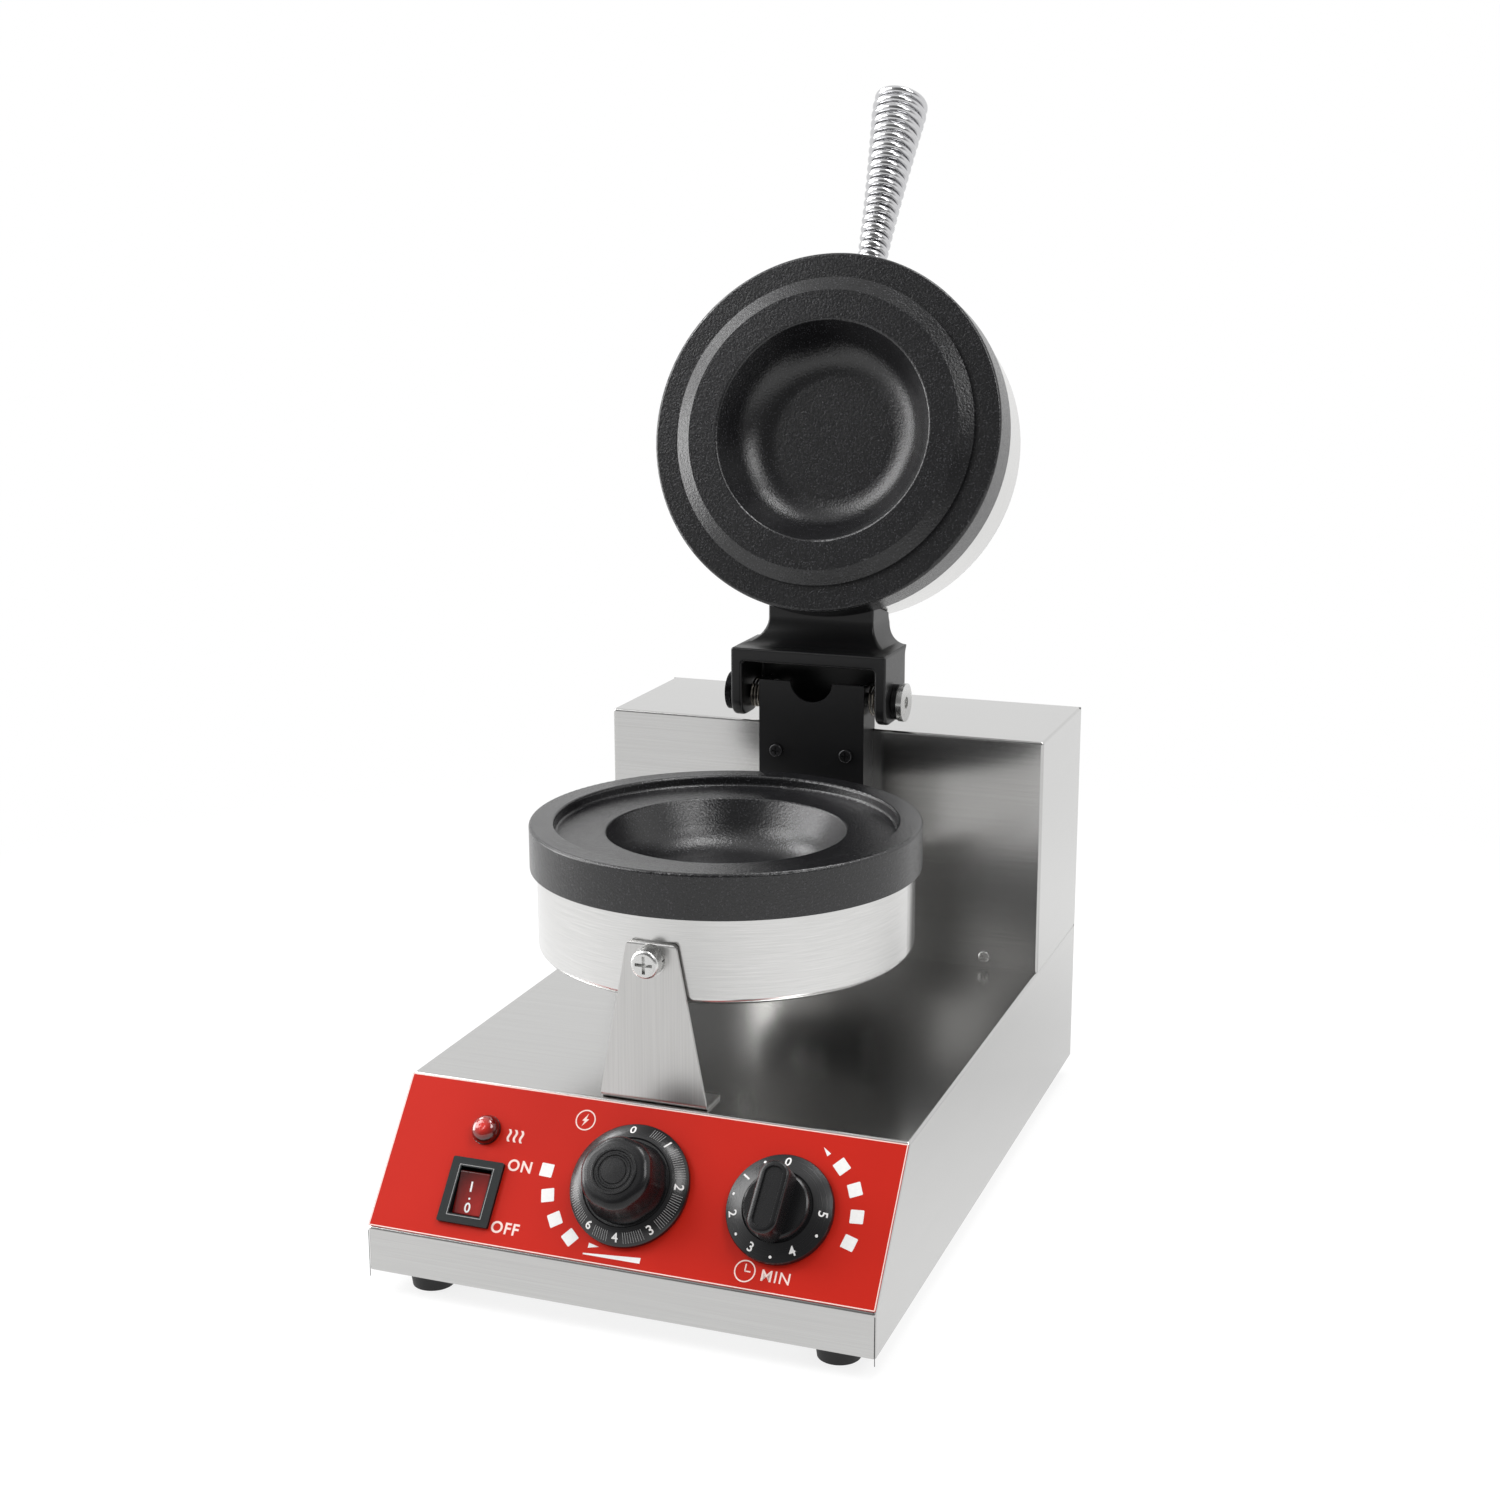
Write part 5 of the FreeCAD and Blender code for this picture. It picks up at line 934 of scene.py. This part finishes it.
def handleCoil():
    line = bpy.data.curves.new("handleCoil", "CURVE")
    line.dimensions = "3D"
    line.bevel_depth = coil["wire"] / 2
    line.bevel_resolution = coil["sides"]
    line.use_fill_caps = True
    route = line.splines.new("POLY")
    route.points.add(int(coil["drawn"] * coil["steps"]))
    for step, point in enumerate(route.points):
        point.co = (*coilPoint(step / coil["steps"]), 1)
    piece = bpy.data.objects.new("handleCoil", line)
    scene.collection.objects.link(piece)
    pick(piece)
    bpy.ops.object.convert(target="MESH")
    piece = bpy.context.object
    pivot = Matrix.Translation(lid["pivot"])
    opening = pivot @ turnBy("X", -lid["open"]) @ pivot.inverted()
    settle(piece, opening @ Matrix.Translation(coil["start"]) @ turnBy("X", 90 - coil["rise"]))
    smooth(piece, coil["smooth"])
    wear(piece, "chrome")
    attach(piece, "lid")
    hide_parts("handle_coil")


handleCoil()
print("handle coil done")

# camera where the photograph was taken
camera = {"place": (0.3846, -1.0648, 0.4984), "turn": 20.55, "tilt": 13.608, "roll": -0.2, "lens": 53.678,
          "sensor": 36}


def placeCamera():
    clearPick()
    bpy.ops.object.camera_add(location=camera["place"])
    eye = bpy.context.object
    look = Euler((math.radians(90 - camera["tilt"]), 0, math.radians(camera["turn"]))).to_matrix()
    eye.rotation_euler = (look @ Matrix.Rotation(math.radians(camera["roll"]), 3, "Z")).to_euler()
    eye.data.lens = camera["lens"]
    eye.data.sensor_width = camera["sensor"]
    scene.camera = eye


# soft studio: white room seen by the eye and by metal, calmer light for matt skins
studio = {"ambient": 0.48, "behind": 0.84, "behindWay": (0.33, -0.92, 0.20), "behindRange": (0.1, 0.85),
          "lamps": [("key", (-1.6, -0.9, 1.7), 1.3, 24), ("left", (-1.7, -0.3, 0.5), 1.0, 16),
                    ("right", (1.35, -0.75, 1.75), 0.9, 13), ("top", (0.46, 0.18, 2.2), 0.7, 13),
                    ("rim", (-1.6, 0.55, 1.6), 0.6, 9)],
          "aim": (0, -0.05, 0.2)}


# 1 where the eye, metal or glass looks
def seen(sheet):
    eye, metal, glass = (sheet.add("ShaderNodeLightPath", out=f"Is {ray} Ray")
                         for ray in ("Camera", "Glossy", "Transmission"))
    return eye + metal + glass > 0.5


def room():
    world = bpy.data.worlds.new("room")
    scene.world = world
    world.use_nodes = True
    world.node_tree.nodes.clear()
    sheet = Sheet(world.node_tree)
    way = sheet.add("ShaderNodeTexCoord", out="Generated")
    behind = sheet.add("ShaderNodeVectorMath", {"operation": "DOT_PRODUCT"},
                       {0: way, 1: studio["behindWay"]}, out=1)
    first, last = studio["behindRange"]
    shade = sheet.add("ShaderNodeMapRange", {"interpolation_type": "SMOOTHSTEP"},
                      {0: behind, 1: first, 2: last})
    inMetal = sheet.add("ShaderNodeLightPath", out="Is Glossy Ray")
    level = seen(sheet) * (1 - studio["ambient"]) + studio["ambient"] - inMetal * shade * studio["behind"]
    glow = sheet.add("ShaderNodeBackground", None, {"Color": (1, 1, 1, 1), "Strength": level})
    sheet.add("ShaderNodeOutputWorld", None, {"Surface": glow})


def lampSet():
    for name, spot, size, power in studio["lamps"]:
        clearPick()
        bpy.ops.object.light_add(type="AREA", location=spot)
        lamp = bpy.context.object
        lamp.name = name
        lamp.data.shape = "DISK"
        lamp.data.size = size
        lamp.data.energy = power
        aim = Vector(studio["aim"]) - Vector(spot)
        lamp.rotation_euler = aim.to_track_quat("-Z", "Y").to_euler()


# pale paper that fades into the room; each card is a dark patch that only metal shows
paper = {"size": 14, "paint": 0.24, "paintSpread": 0.96, "grain": (40, 2), "glow": 0.80, "unseen": 0.5,
         "fade": 1.15, "fadeEnd": 0.6, "cards": [((0.0, -0.65), 0.6, 0.75), ((0.30, 0.20), 0.40, 0.40)]}


def paperGlow(sheet, strength):
    dim = strength * paper["unseen"]
    return seen(sheet) * (strength - dim) + dim


def floor():
    clearPick()
    bpy.ops.mesh.primitive_plane_add(size=paper["size"])
    plane = bpy.context.object
    plane.name = "floor"
    material = bpy.data.materials.new("floorPaper")
    material.use_nodes = True
    material.node_tree.nodes.clear()
    sheet = Sheet(material.node_tree)
    grain = sheet.noise(sheet.place(), *paper["grain"])
    paint = sheet.blend(grain, (paper["paint"],) * 3, (paper["paint"] * paper["paintSpread"],) * 3)
    matt = sheet.add("ShaderNodeBsdfDiffuse", None, {"Color": paint})
    level = paperGlow(sheet, paper["glow"])
    inMetal = sheet.add("ShaderNodeLightPath", out="Is Glossy Ray")
    for (across, along), reach, dark in paper["cards"]:
        shift = (-across / reach, -along / reach, 0)
        card = sheet.add("ShaderNodeMapping", None,
                         {"Vector": sheet.add("ShaderNodeTexCoord", out="Object"),
                          "Scale": (1 / reach,) * 3, "Location": shift})
        shade = sheet.add("ShaderNodeTexGradient", {"gradient_type": "QUADRATIC_SPHERE"},
                          {"Vector": card}, out=1)
        level = level - inMetal * shade * dark
    glow = sheet.add("ShaderNodeEmission", None, {"Strength": level})
    near = sheet.add("ShaderNodeAddShader", None, {0: matt, 1: glow})
    far = sheet.add("ShaderNodeEmission", None, {"Strength": paperGlow(sheet, 1.0)})
    fade = sheet.add("ShaderNodeTexGradient", {"gradient_type": "SPHERICAL"},
                     {"Vector": sheet.place(scale=(paper["fade"],) * 3)}, out=1)
    fadeShare = sheet.add("ShaderNodeMapRange", {"interpolation_type": "SMOOTHSTEP"},
                          {0: fade, 1: 0.0, 2: paper["fadeEnd"]})
    both = sheet.add("ShaderNodeMixShader", None, {0: fadeShare, 1: far, 2: near})
    sheet.add("ShaderNodeOutputMaterial", None, {"Surface": both})
    plane.data.materials.append(material)


placeCamera()
room()
lampSet()
floor()
print("camera, room and lamps set")
